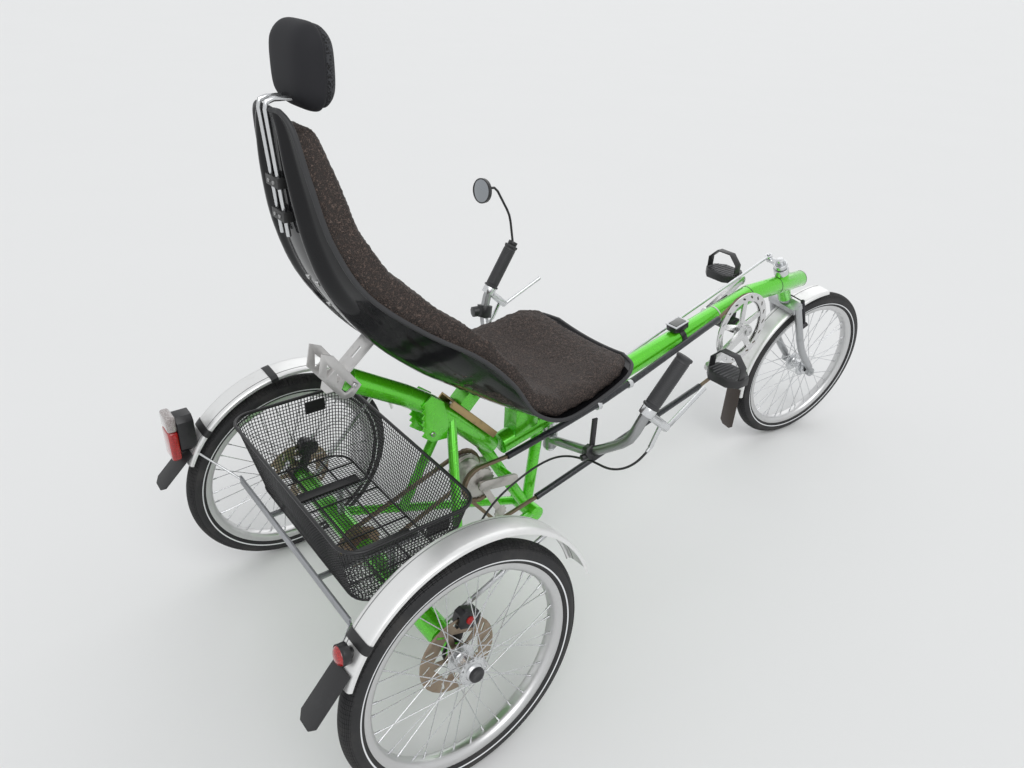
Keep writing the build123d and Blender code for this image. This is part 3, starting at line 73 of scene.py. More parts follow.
# columns: x, z, half width, edge rise, depth of the two ridges on the back; millimetres
SEAT_STATIONS = (
    (-118.0, 1150.0, 40.0, 2.0, 2.0),
    (-114.0, 1128.0, 68.0, 4.0, 8.0),
    (-108.0, 1050.0, 88.0, 10.0, 12.0),
    (-96.0, 955.0, 104.0, 20.0, 12.0),
    (-62.0, 862.0, 128.0, 32.0, 12.0),
    (4.0, 764.0, 160.0, 62.0, 10.0),
    (88.0, 680.0, 188.0, 84.0, 6.0),
    (172.0, 616.0, 196.0, 72.0, 2.0),
    (260.0, 560.0, 198.0, 34.0, 0.0),
    (350.0, 528.0, 198.0, 24.0, 0.0),
    (450.0, 532.0, 196.0, 34.0, 0.0),
    (540.0, 557.0, 186.0, 32.0, 0.0),
    (584.0, 574.0, 158.0, 22.0, 0.0),
    (602.0, 582.0, 110.0, 12.0, 0.0),
)
SHELL_WALL = 4.0
SHELL_GRID = (56, 104)
TRIM_RADIUS = 0.0044
SHELL_BOLT_SHARES = (0.30, 0.345)

# Back of the shell, millimetres or shares of its width inside the brim: groove, tops and foot of its ridges
SHELL_BRIM, RIDGE_FOOT = 10.0, 6.0
GROOVE_HALF, GROOVE_SHARE = 34.0, 0.36
RIDGE_PLACE, RIDGE_SHARE = 58.0, 0.66

# Basket, millimetres beside the middle of the rear axle
BASKET_REAR, BASKET_FRONT, BASKET_HALF = -163.0, 100.0, 258.0
BASKET_FLOOR, BASKET_RIM = 345.0, 497.0
BASKET_TAPER, BASKET_CORNER = 34.0, 42.0
WIRE_LIFT, CROSS_WIRE_LIFT = 1.5, 2.6
CORNER_TRIM, CORNER_SLACK = 12, 8
WIRE_RADIUS, RIM_RADIUS, FOOT_RADIUS, BAR_RADIUS = 0.001, 0.0036, 0.0026, 0.0022
BAR_PLACES, BAR_INSET = (-170.0, -60.0, 60.0, 170.0), 60
BAR_LIFT, CROSS_BAR_LIFT = 4.5, 6
# Its plates: place, size and width of the rounded edge
BASKET_PLATES = (
    ((-30.0, 110.0, 353.0), (150, 26, 4), 1.2),
    ((-30.0, -110.0, 353.0), (150, 26, 4), 1.2),
    ((20.0, -247.0, 473.0), (46, 3, 30), 1.0),
    ((20.0, 247.0, 473.0), (46, 3, 30), 1.0),
)

# Grips of the handlebar, from the bar's last corner to its end; the right one mirrors the left one
GRIP_CORNER, GRIP_TIP = (489.0, 327.0, 590.0), (561.0, 336.0, 710.0)
GRIP_INSET = 27.0
MIRROR_CENTRE = (468.0, 322.0, 865.0)
MIRROR_AIM = Vector((-1, -0.25, 0.1))

# Cables, from each brake lever: points that turn with the handlebar, then points that stay on the frame
CABLE_END = ((512, 334, 520), (505, 334, 512))
CABLE_RIGHT_HELD = ((512, 334, 520), (500, 334, 505), (478, 330, 480), (455, 290, 452), (452, 240, 446))
CABLE_RIGHT_FREE = ((425, -190, 425), (420, -110, 400), (330, -70, 330), (220, -90, 290), (120, -180, 270))
CABLE_LEFT_HELD = ((512, 334, 520), (498, 330, 500), (486, 318, 470), (470, 270, 440), (455, 200, 415))
CABLE_LEFT_FREE = ((440, 120, 400), (560, 60, 425), (800, 36, 470), (1000, 34, 515), (1150, 36, 560))

# Boom: where its two bends and its end are, and the way that it rises between the bends
BOOM_START = (345.0, 390.0)
BOOM_SLOPE = (855.0, 0, 178.0)
BOOM_NOSE = (237.0, 0, -5.0)
BOOM_SEAMS = ((1190.0, 565.9, BOOM_SLOPE), (1320.0, 565.5, BOOM_NOSE))
BOOM_TIP = (1437.0, 0, 563.0)
TIE_PLACE = (1055.0, 0, 537.8)
COMPUTER_X = 918.0
COMPUTER_RIM_RISE, COMPUTER_SCREEN_RISE = 0.0424, 0.0444
FRAME_BOLTS = ((150.0, 500.0), (-16.0, 666.0))
FRAME_BOLT_SIDE = 26.0
RAIL_BOLTS = ((213.0, 537.0), (268.0, 486.0))

# Fenders: degrees about the axle where each strip starts and how far it reaches
REAR_FENDER_SPAN = (18.0, 140.0)
FRONT_FENDER_SPAN = (90.0, 100.0)
FENDER_SHIFT = Vector((0.010, 0, 0.012))
FENDER_GROOVE = 0.0175
FRONT_HUB = (1545.0, 0, 250.0)
ROUND_LAMP_TURN, ROUND_LAMP_RADIUS = 146.5, 0.276
TALL_LAMP = (-258.3, 365.0, 434.0)
CLIP_TURNS = {"left": (98.0, 138.0), "right": (140.0,)}
CLIP_SWEEP = 3.6

# Tread blocks round and across each tyre, how far they reach down its wall in degrees, and half their gap
TREAD_ROWS, TREAD_COLUMNS = 168, 44
TREAD_LEAN = 58.0
TREAD_GAP = 0.0005

# Spokes, metres from the axle, and how far each leads along the hub in degrees
SPOKE_START, SPOKE_END = 0.0268, 0.1955
SPOKE_LEAD = 62.0
SPOKE_RADIUS = 0.00105
# Metres beside the middle of the wheel where a spoke starts and ends, and how far its head stands out
FLANGE_SIDE, RIM_SIDE, HEAD_LIFT = 0.0205, 0.003, 0.0018
# Shares of a spoke that its nipple and its head take up
NIPPLE_SHARE, HEAD_SHARE = 0.07, 0.004

# Brake calipers, degrees about the axle and metres from it
CALIPER_TURN, CALIPER_REACH, ADJUSTER_REACH = 70.0, 0.076, 0.098
CALIPER_SIDE, ADJUSTER_SIDE = -0.0238, -0.040

# Cranks: metres from the middle to the end of the axle
CRANK_END = 0.0752

# Pedal ribs: millimetres apart, half lengths of the long and the short ones, and radius in metres
RIB_PITCH, RIB_LONG, RIB_SHORT, RIB_LIFT = 10.5, 34.0, 24.0, 11.2
RIB_RADIUS = 0.0016

# Chain plates: radius of their ends, thickness, millimetres beside the chain's middle, and stagger
LINK_RADIUS, LINK_WALL, LINK_ASIDE, LINK_STAGGER = 4.3, 1.0, 3.4, 0.5

# Chain: pitch in millimetres, and its arcs as centre, radius and the degrees where each starts and ends
CHAIN_PITCH = 12.7
CHAIN_ARCS = (
    ((1116.0, -48.5, 504.0), 94.5, -68.0, 118.0),
    ((258.0, -48.5, 345.0), 42.5, 98.0, 300.0),
    ((258.0, 22.0, 345.0), 42.5, -50.0, 100.0),
    ((0.0, 22.0, 250.0), 49.5, 100.0, 305.0),
)

# Headrest rods: heights of the two clamps, and the heights between which the rods lean back
CLAMP_HEIGHTS = (1043.0, 990.0)
ROD_LOW, ROD_HIGH, ROD_X, ROD_LEAN = 957.0, 1164.0, -113.2, 18.0
PAD_CREASE = -48.0

# Padded pieces: size of a voxel in metres, most that a point may swell in millimetres, rounds of smoothing
MAT_CLOTH = (0.0066, 5.0, 12)
PAD_CLOTH = (0.0045, 7.0, 120)
CLOTH_FRAMES = 20
CLOTH_PRESSURE = 4.0
MAT_CURLS = ((130.0, 0.0014), (260.0, 0.0009))

# Stage
FLOOR_SIZE = 400.0
CAMERA_PLACE = (-568.0, -1155.0, 1370.0)
CAMERA_TURNS = ((-39.17, "Z"), (60.75, "X"), (2.94, "Z"))
CAMERA_LENS = 27.35


class TricycleSizes(bpy.types.PropertyGroup):
    tyre_radius: bpy.props.FloatProperty(
        name="Tyre radius", description="Radius over the tread of all three tyres",
        default=0.25, min=0.2, max=0.3, unit="LENGTH")
    tyre_width: bpy.props.FloatProperty(
        name="Tyre width", description="Width of the tyre section",
        default=0.047, min=0.03, max=0.06, unit="LENGTH")
    tread_depth: bpy.props.FloatProperty(
        name="Tread depth", description="Height of the tread blocks",
        default=0.0012, min=0.0, max=0.004, unit="LENGTH")
    stripe_radius: bpy.props.FloatProperty(
        name="Stripe radius", description="Radius of the reflecting stripe on each tyre wall",
        default=0.2215, min=0.21, max=0.24, unit="LENGTH")
    bead_radius: bpy.props.FloatProperty(
        name="Bead radius", description="Radius at which the tyre sits on its rim",
        default=0.2133, min=0.2, max=0.23, unit="LENGTH")
    spoke_count: bpy.props.IntProperty(
        name="Spokes", description="Spokes of each wheel", default=36, min=12, max=48)
    mesh_pitch: bpy.props.FloatProperty(
        name="Basket mesh", description="Distance between the thin wires of the basket",
        default=0.0072, min=0.004, max=0.03, unit="LENGTH")


class TricycleColours(bpy.types.PropertyGroup):
    frame_paint: bpy.props.FloatVectorProperty(
        name="Frame paint", description="Metallic lime green of the frame tubes",
        default=(0.115, 0.70, 0.012), min=0, max=1, size=3, subtype="COLOR")
    mat: bpy.props.FloatVectorProperty(
        name="Mat thread", description="Brown of the curled filament mat",
        default=(0.105, 0.075, 0.062), min=0, max=1, size=3, subtype="COLOR")
    shell: bpy.props.FloatVectorProperty(
        name="Seat shell", description="Gloss black of the seat shell",
        default=(0.008, 0.008, 0.009), min=0, max=1, size=3, subtype="COLOR")
    floor: bpy.props.FloatVectorProperty(
        name="Floor", description="Pale studio floor",
        default=(0.80, 0.80, 0.79), min=0, max=1, size=3, subtype="COLOR")


class Wire:
    """One output of a shader node, so that shader maths reads as plain sums."""

    def __init__(self, finish, socket):
        self.finish = finish
        self.socket = socket

    def maths(self, operation, *others):
        return self.finish.node("ShaderNodeMath", {"operation": operation}, {
            index: value for index, value in enumerate(others)})

    def __add__(self, other):
        return self.maths("ADD", self, other)

    def __radd__(self, other):
        return self.maths("ADD", other, self)

    def __sub__(self, other):
        return self.maths("SUBTRACT", self, other)

    def __rsub__(self, other):
        return self.maths("SUBTRACT", other, self)

    def __mul__(self, other):
        return self.maths("MULTIPLY", self, other)

    def __rmul__(self, other):
        return self.maths("MULTIPLY", other, self)

    def __abs__(self):
        return self.maths("ABSOLUTE", self)

    def over(self, low, high):
        """0 below low, 1 above high, smooth between."""
        return self.finish.node("ShaderNodeMapRange", {"interpolation_type": "SMOOTHSTEP"}, {
            "Value": self, "From Min": low, "From Max": high})


class Finish:
    """A node material for one kind of surface."""

    def __init__(self, name, **shader):
        self.material = bpy.data.materials.new(name)
        self.material.use_nodes = True
        self.tree = self.material.node_tree
        self.tree.nodes.clear()
        self.output = self.tree.nodes.new("ShaderNodeOutputMaterial")
        self.shader = self.tree.nodes.new("ShaderNodeBsdfPrincipled")
        self.tree.links.new(self.shader.outputs[0], self.output.inputs[0])
        for socket, value in shader.items():
            self.feed(socket.replace("_", " ").title(), value)

    def feed(self, socket, value):
        """Sets or links one socket of the surface shader."""
        names = {"Ior": "IOR", "Specular Ior Level": "Specular IOR Level"}
        self.plug(self.shader.inputs[names.get(socket, socket)], value)

    def plug(self, socket, value):
        if isinstance(value, Wire):
            self.tree.links.new(value.socket, socket)
        elif socket.type == "RGBA" and len(value) == 3:
            socket.default_value = (*value, 1)
        else:
            socket.default_value = value

    def node(self, kind, settings=None, inputs=None, output=0):
        """Adds any node: its settings first, then the values or links of its sockets."""
        made = self.tree.nodes.new(kind)
        for name, value in (settings or {}).items():
            setattr(made, name, value)
        for socket, value in (inputs or {}).items():
            self.plug(made.inputs[socket], value)
        return Wire(self, made.outputs[output])

    def place(self):
        """The point on the object, in metres."""
        return self.node("ShaderNodeTexCoord", output="Object")

    def turned(self, centre, axis):
        """The point as seen from a centre, with Z along an axis."""
        turn = Vector((0, 0, 1)).rotation_difference(Vector(axis)).to_euler()
        return self.node("ShaderNodeMapping", {"vector_type": "TEXTURE"}, {
            "Vector": self.place(), "Location": tuple(centre), "Rotation": tuple(turn)})

    def part(self, vector, name):
        return self.node("ShaderNodeSeparateXYZ", inputs={0: vector}, output="XYZ".index(name))

    def ring(self, vector):
        """Distance from the Z axis of a turned point."""
        flat = self.node("ShaderNodeVectorMath", {"operation": "MULTIPLY"}, {0: vector, 1: (1, 1, 0)})
        return self.node("ShaderNodeVectorMath", {"operation": "LENGTH"}, {0: flat}, output=1)

    def noise(self, scale, detail=2.0, roughness=0.5, vector=None, distortion=0.0):
        return self.node("ShaderNodeTexNoise", inputs={
            "Vector": vector or self.place(), "Scale": scale, "Detail": detail, "Roughness": roughness,
            "Distortion": distortion})

    def cells(self, scale, output=0):
        return self.node("ShaderNodeTexVoronoi", inputs={
            "Vector": self.place(), "Scale": scale}, output=output)

    def blend(self, share, first, second):
        """Colour mixed from first to second."""
        return self.node("ShaderNodeMix", {"data_type": "RGBA"}, {0: share, 6: first, 7: second}, output=2)

    def stretched(self, vector, scale):
        return self.node("ShaderNodeVectorMath", {"operation": "MULTIPLY"}, {0: vector, 1: scale})

    def relief(self, height, depth, strength=1.0):
        """Bumps the surface by a height from 0 to 1, over a depth in metres."""
        self.feed("Normal", self.node("ShaderNodeBump", inputs={
            "Height": height, "Distance": depth, "Strength": strength}))


def shade(colour, factor):
    return tuple(value * factor for value in colour)


def green_paint():
    finish = Finish("metallic_green_paint", metallic=0.5, coat_weight=1.0, coat_roughness=0.05)
    base = tuple(bpy.context.scene.tricycle_colours.frame_paint)
    flake = finish.part(finish.cells(2600.0, output=1), "X")
    cloud = finish.noise(14.0, 3.0)
    finish.feed("Base Color", finish.blend(flake * 0.35 + cloud * 0.3, base, shade(base, 0.74)))
    finish.feed("Roughness", 0.25 + finish.noise(55.0, 4.0).over(0.45, 0.75) * 0.12)
    finish.relief(flake, 0.00004, 0.5)
    return finish.material


def metal(name, colour, roughness=0.3, dirt=0.25, dirt_colour=(0.10, 0.085, 0.07), stretch=(1, 1, 1)):
    """Metal with a soft grain and dirt that gathers in patches."""
    finish = Finish(name)
    grain_noise = finish.noise(420.0, 3.0, vector=finish.stretched(finish.place(), stretch))
    patch = finish.noise(38.0, 5.0, 0.62).over(0.50, 0.78)
    finish.feed("Base Color", finish.blend(patch * dirt, colour, dirt_colour))
    finish.feed("Metallic", 1.0 - patch * dirt * 0.8)
    finish.feed("Roughness", roughness + grain_noise * 0.12 + patch * dirt * 0.5)
    finish.relief(grain_noise, 0.00003, 0.4)
    return finish.material


def plastic(name, colour, roughness=0.45, grain=900.0, depth=0.00006, wear=0.25):
    """Moulded plastic or rubber with a fine grain and greyed wear."""
    finish = Finish(name)
    grain_noise = finish.noise(grain, 2.0)
    worn = finish.noise(30.0, 6.0, 0.65).over(0.48, 0.8)
    paler = tuple(min(1.0, c * 1.6 + 0.03) for c in colour)
    finish.feed("Base Color", finish.blend(worn * wear, colour, paler))
    finish.feed("Roughness", roughness + worn * 0.15 + grain_noise * 0.06)
    finish.relief(grain_noise, depth, 0.6)
    return finish.material


def wheel_metal(name, body, colour, roughness, lines):
    """Turned metal: fine rings about the wheel's axle."""
    finish = Finish(name)
    point = finish.turned(*SPIN[body])
    radius = finish.ring(point)
    ring_noise = finish.node("ShaderNodeTexNoise", {"noise_dimensions": "1D"}, {
        "W": radius * lines, "Scale": 1.0, "Detail": 3.0})
    patch = finish.noise(26.0, 5.0, 0.6).over(0.5, 0.8)
    finish.feed("Base Color", finish.blend(patch * 0.3, colour, shade(colour, 0.55)))
    finish.feed("Metallic", 1.0 - patch * 0.35)
    finish.feed("Roughness", roughness + ring_noise * 0.18 + patch * 0.15)
    finish.relief(ring_noise, 0.00004, 0.5)
    return finish.material


def fender_finish(name, centre, axis, groove):
    """Brushed alloy along the fender, with one dark groove beside its inner edge."""
    finish = Finish(name)
    point = finish.turned(centre, axis)
    brushed = finish.noise(300.0, 3.0, vector=finish.stretched(point, (0.4, 0.4, 3.0)))
    patch = finish.noise(24.0, 5.0, 0.6).over(0.5, 0.8)
    line = 1.0 - abs(finish.part(point, "Z") - groove).over(0.0009, 0.0016)
    tone = finish.blend(patch * 0.25, (0.84, 0.84, 0.83), (0.50, 0.48, 0.45))
    finish.feed("Base Color", finish.blend(line * 0.75, tone, (0.05, 0.05, 0.05)))
    finish.feed("Metallic", 0.70 - line * 0.5)
    finish.feed("Roughness", 0.30 + brushed * 0.14 + patch * 0.2)
    finish.relief(brushed * 0.1 - line, 0.0006, 0.6)
    return finish.material


def tyre_finish(body):
    finish = Finish("tyre_" + body)
    sizes = bpy.context.scene.tricycle_sizes
    radius = finish.ring(finish.turned(*SPIN[body]))
    dust = finish.noise(20.0, 6.0, 0.65).over(0.42, 0.78)
    grain = finish.noise(700.0, 2.0)
    rubber = finish.blend(dust * 0.5, (0.012, 0.012, 0.013), (0.075, 0.070, 0.065))
    stripe = 1.0 - abs(radius - sizes.stripe_radius).over(0.0011, 0.0016)
    finish.feed("Base Color", finish.blend(stripe, rubber, (0.78, 0.79, 0.80)))
    finish.feed("Roughness", 0.62 + dust * 0.2 - stripe * 0.25)
    finish.relief(grain, 0.00008, 0.6)
    return finish.material


def at(x, y, z):
    """A point in metres from millimetres beside the ground under the middle of the rear axle."""
    return Vector((ORIGIN + x / 1000, y / 1000, z / 1000))


def mirrored_points(points):
    """The same points in millimetres on the right side."""
    return [(x, -y, z) for x, y, z in points]


def as_parked(body):
    """The turn that a steered body has as parked."""
    centre, axis = SPIN[body]
    return Matrix.Translation(centre) @ Matrix.Rotation(PARKED, 4, axis) @ Matrix.Translation(-centre)


def facing(origin, z_dir, x_dir=(1, 0, 0)):
    """The place with Z along one direction and X as near as can be to another."""
    z = Vector(z_dir).normalized()
    x = Vector(x_dir)
    if abs(x.normalized().dot(z)) > 0.99:
        x = Vector((0, 1, 0))
    x = (x - z * x.dot(z)).normalized()
    return Matrix.Translation(origin) @ Matrix((x, z.cross(x), z)).transposed().to_4x4()


def dress(material, *names):
    """Gives CAD nodes one material in place of the plain one they came with."""
    for name in names:
        mesh = frame["nodes"][name].data
        mesh.materials.clear()
        mesh.materials.append(material)


def only(piece):
    bpy.ops.object.select_all(action="DESELECT")
    piece.select_set(True)
    bpy.context.view_layer.objects.active = piece


def settle(piece, name, place=None):
    """Names a piece, puts its place into its mesh and leaves it alone in the selection."""
    bpy.ops.object.mode_set(mode="OBJECT")
    only(piece)
    if place is not None:
        piece.matrix_world = place
    bpy.ops.object.transform_apply(location=True, rotation=True, scale=True)
    piece.name = name
    piece.data.name = name
    return piece


def keep(piece, material, body, slot, *nodes):
    """Finishes a piece: its material, the body it rides on and the nodes that it stands for."""
    piece.data.materials.clear()
    piece.data.materials.append(material)
    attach(piece, body)
    if nodes:
        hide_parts(*nodes)
    return piece


def joined(pieces, name):
    only(pieces[0])
    for piece in pieces:
        piece.select_set(True)
    if len(pieces) > 1:
        bpy.ops.object.join()
    return settle(pieces[0], name)


def modified(piece, kind, **settings):
    """Adds one modifier, sets it and applies it."""
    only(piece)
    modifier = piece.modifiers.new(kind.lower(), kind)
    for name, value in settings.items():
        setattr(modifier, name, value)
    bpy.ops.object.modifier_apply(modifier=modifier.name)


def smooth(piece, angle=50):
    only(piece)
    bpy.ops.object.shade_smooth_by_angle(angle=math.radians(angle))
    return piece


def edited():
    """Goes into edit mode with everything selected."""
    bpy.ops.object.mode_set(mode="EDIT")
    bpy.ops.mesh.select_all(action="SELECT")


def copied(node, name):
    """A merged copy of a CAD node with plain normals."""
    source = frame["nodes"][node]
    piece = source.copy()
    piece.data = source.data.copy()
    bpy.context.collection.objects.link(piece)
    piece.name = name
    piece.data.name = name
    only(piece)
    if piece.data.has_custom_normals:
        bpy.ops.mesh.customdata_custom_splitnormals_clear()
    edited()
    bpy.ops.mesh.remove_doubles(threshold=0.00001)
    bpy.ops.mesh.dissolve_limited(angle_limit=math.radians(0.5))
    bpy.ops.object.mode_set(mode="OBJECT")
    return piece


def eased(node, material, edge=0.0007, angle=48):
    """A copy of a CAD node whose hard edges are rounded and whose flat-sided bars look round."""
    piece = copied(node, node + "_eased")
    limit = math.radians(angle + 4)
    modified(piece, "BEVEL", limit_method="ANGLE", angle_limit=limit, width=edge, segments=2)
    smooth(piece, angle)
    return keep(piece, material, BODY_OF[node], SLOT_OF[node], node)


def tubes(name, runs, radius, sides=8, order=0):
    """Round bars along runs of points. An order of 3 or 4 rounds the corners."""
    curve = bpy.data.curves.new(name, "CURVE")
    curve.dimensions = "3D"
    curve.bevel_depth = radius
    curve.bevel_resolution = max(0, sides // 2 - 2)
    curve.use_fill_caps = True
    curve.resolution_u = 10
    for run in runs:
        spline = curve.splines.new("NURBS" if order else "POLY")
        spline.points.add(len(run) - 1)
        for point, place in zip(spline.points, run):
            point.co = (*place, 1)
        if order:
            spline.order_u = min(order, len(run))
            spline.use_endpoint_u = True
    piece = bpy.data.objects.new(name, curve)
    bpy.context.collection.objects.link(piece)
    only(piece)
    bpy.ops.object.convert(target="MESH")
    piece = bpy.context.object
    edited()
    bpy.ops.mesh.remove_doubles(threshold=0.000001)
    bpy.ops.mesh.normals_make_consistent(inside=False)
    bpy.ops.object.mode_set(mode="OBJECT")
    return smooth(piece, 60)


def closed(points):
    return list(points) + [points[0]]


def mirrored(profile):
    """The same profile on the other side of height 0, so that both make one run."""
    return [(radius, -height) for radius, height in reversed(profile)]


def polar(radius, turn, height=0.0):
    return Vector((radius * math.cos(turn), radius * math.sin(turn), height))


def lathe(name, profile, place, steps=64, start=0.0, sweep=360.0, angle=35):
    """A turned piece from (radius, height) pairs in millimetres about the Z of its place."""
    bpy.ops.object.select_all(action="DESELECT")
    bpy.ops.mesh.primitive_plane_add(size=0.001)
    piece = bpy.context.object
    bpy.ops.object.mode_set(mode="EDIT")
    bpy.ops.mesh.select_mode(type="VERT")
    bpy.ops.mesh.select_all(action="SELECT")
    bpy.ops.mesh.merge(type="CENTER")
    radius, height = profile[0]
    bpy.ops.transform.translate(value=(radius / 1000, 0, height / 1000))
    for (radius, height), (next_radius, next_height) in zip(profile, profile[1:]):
        bpy.ops.mesh.extrude_region_move(TRANSFORM_OT_translate={
            "value": ((next_radius - radius) / 1000, 0, (next_height - height) / 1000)})
    bpy.ops.mesh.select_all(action="SELECT")
    bpy.ops.mesh.spin(steps=steps, angle=math.radians(sweep), center=(0, 0, 0), axis=(0, 0, -1))
    bpy.ops.mesh.select_all(action="SELECT")
    bpy.ops.mesh.remove_doubles(threshold=0.000002)
    if sweep < 360.0:
        bpy.ops.mesh.fill_holes(sides=0)
    bpy.ops.mesh.select_all(action="SELECT")
    bpy.ops.mesh.normals_make_consistent(inside=False)
    bpy.ops.object.mode_set(mode="OBJECT")
    settle(piece, name, place @ Matrix.Rotation(math.radians(start), 4, "Z"))
    return smooth(piece, angle)


def block(name, size, place, edge=1.5, segments=3):
    """A box with rounded edges, sizes in millimetres."""
    bpy.ops.object.select_all(action="DESELECT")
    bpy.ops.mesh.primitive_cube_add(size=1.0)
    piece = bpy.context.object
    piece.scale = tuple(value / 1000 for value in size)
    bpy.ops.object.transform_apply(location=False, rotation=False, scale=True)
    modified(piece, "BEVEL", width=edge / 1000, segments=segments)
    settle(piece, name, place)
    return smooth(piece, 40)


def plate(name, outline, thickness, place, edge=0.4):
    """A flat piece with the given outline in millimetres, its thickness centred on its place."""
    bpy.ops.object.select_all(action="DESELECT")
    bpy.ops.mesh.primitive_circle_add(vertices=len(outline), fill_type="NGON")
    piece = bpy.context.object
    for vertex, (x, y) in zip(piece.data.vertices, outline):
        vertex.co = (x / 1000, y / 1000, 0)
    modified(piece, "SOLIDIFY", thickness=thickness / 1000, offset=0.0)
    modified(piece, "BEVEL", width=edge / 1000, segments=2, limit_method="ANGLE")
    edited()
    bpy.ops.mesh.normals_make_consistent(inside=False)
    settle(piece, name, place)
    return smooth(piece, 40)


def bolts(name, places, radius, height, material):
    """Round bolt heads with a round socket, each at a point along an axis."""
    head = [(0, height * 0.35), (radius * 0.48, height * 0.35), (radius * 0.48, height),
            (radius * 0.85, height), (radius, height * 0.8), (radius, 0), (0, 0)]
    pieces = [lathe(name, head, facing(point, axis), steps=18) for point, axis in places]
    return keep(joined(pieces, name), material, "frame", "bright_steel")


class TRICYCLE_OT_stage(bpy.types.Operator):
    """Pale floor, soft light and the camera"""
    bl_idname = "tricycle.stage"
    bl_label = "Stage"

    def execute(self, context):
        scene = context.scene
        bpy.ops.object.select_all(action="DESELECT")
        bpy.ops.mesh.primitive_plane_add(size=FLOOR_SIZE, location=(0, 0, 0))
        floor = settle(context.object, "floor")
        finish = Finish("pale_floor", roughness=0.85)
        tone = finish.noise(1.2, 3.0)
        base = tuple(scene.tricycle_colours.floor)
        finish.feed("Base Color", finish.blend(tone * 0.25, base, shade(base, 0.93)))
        finish.relief(finish.noise(240.0, 3.0), 0.0003, 0.3)
        floor.data.materials.append(finish.material)

        world = bpy.data.worlds.new("studio")
        world.use_nodes = True
        tree = world.node_tree
        soft = tree.nodes["Background"]
        soft.inputs["Color"].default_value = (0.95, 0.97, 1.0, 1)
        soft.inputs["Strength"].default_value = 0.66
        pale = tree.nodes.new("ShaderNodeBackground")
        pale.inputs["Color"].default_value = (0.80, 0.81, 0.82, 1)
        path = tree.nodes.new("ShaderNodeLightPath")
        seen = path.outputs["Is Camera Ray"]
        for ray in ("Is Glossy Ray", "Is Transmission Ray"):
            either = tree.nodes.new("ShaderNodeMath")
            either.operation = "MAXIMUM"
            tree.links.new(seen, either.inputs[0])
            tree.links.new(path.outputs[ray], either.inputs[1])
            seen = either.outputs[0]
        mix = tree.nodes.new("ShaderNodeMixShader")
        tree.links.new(seen, mix.inputs[0])
        tree.links.new(soft.outputs[0], mix.inputs[1])
        tree.links.new(pale.outputs[0], mix.inputs[2])
        tree.links.new(mix.outputs[0], tree.nodes["World Output"].inputs["Surface"])
        scene.world = world
        for name, place, spread, power in (
                ("key_light", (-1.2, -2.6, 3.6), 50.0, 1.15),
                ("fill_light", (2.8, 2.2, 3.0), 60.0, 0.45)):
            bpy.ops.object.light_add(type="SUN", location=place)
            lamp = context.object
            lamp.name = name
            lamp.data.angle = math.radians(spread)
            lamp.data.energy = power
            lamp.rotation_euler = (Vector((0, 0, 0.4)) - Vector(place)).to_track_quat("-Z", "Y").to_euler()

        bpy.ops.object.camera_add()
        camera = context.object
        camera.name = "camera"
        place = Matrix.Translation(at(*CAMERA_PLACE))
        for degrees, axis in CAMERA_TURNS:
            place = place @ Matrix.Rotation(math.radians(degrees), 4, axis)
        camera.matrix_world = place
        camera.data.sensor_width = 36.0
        camera.data.lens = CAMERA_LENS
        camera.data.clip_end = 1000.0
        scene.camera = camera
        scene.view_settings.view_transform = "Standard"
        return {"FINISHED"}


class TRICYCLE_OT_frame(bpy.types.Operator):
    """Metallic green paint of the frame tubes, and the metal bolted to them"""
    bl_idname = "tricycle.frame"
    bl_label = "Frame"

    def execute(self, context):
        green = green_paint()
        for node in ("boom_tube", "arch_tube", "struts", "axle_tubes", "axle_stays", "seat_supports"):
            eased(node, green, 0.0012)
        eased("seat_rail", metal("gold_rail", (0.46, 0.34, 0.17), 0.35, dirt=0.5), 0.0008)
        eased("backrest_bracket", metal("bracket_plate", (0.62, 0.61, 0.60), 0.34, dirt=0.2), 0.0005)
        black = plastic("boom_cap", (0.012, 0.012, 0.013), 0.4)
        cap = [(0, 5), (19, 5), (23, 3.6), (24, 2), (24, 0), (20, -2), (0, -2)]
        keep(lathe("boom_cap", cap, facing(at(*BOOM_TIP), BOOM_NOSE)), black,
             "frame", "black_plastic", "boom_end_cap")
        profile = closed([(24.9, -0.9), (25.3, -0.9), (25.3, 0.9), (24.9, 0.9)])
        seams = [lathe("seam", profile, facing(at(x, 0, z), slope), steps=72) for x, z, slope in BOOM_SEAMS]
        keep(joined(seams, "boom_seams"), black, "frame", "black_plastic")
        tie = lathe("cable_tie", closed([(24.8, -2.0), (26.1, -1.8), (26.1, 1.8), (24.8, 2.0)]),
                    facing(at(*TIE_PLACE), BOOM_SLOPE), steps=72)
        keep(tie, plastic("tie_white", (0.62, 0.62, 0.60), 0.4, wear=0.1), "frame", "bright_steel")
        steel = metal("bolt_steel", (0.60, 0.60, 0.60), 0.28, dirt=0.3)
        spots = [(at(x, side * FRAME_BOLT_SIDE, z), (0, side, 0))
                 for x, z in FRAME_BOLTS for side, _ in SIDES]
        spots += [(at(x, 0, z), (0.68, 0, 0.73)) for x, z in RAIL_BOLTS]
        bolts("frame_bolts", spots, 5.5, 4.5, steel)
        grey = metal("carrier_grey", (0.40, 0.41, 0.43), 0.40, dirt=0.15, stretch=(6, 0.3, 6))
        eased("rear_carrier", grey, 0.0008)
        return {"FINISHED"}


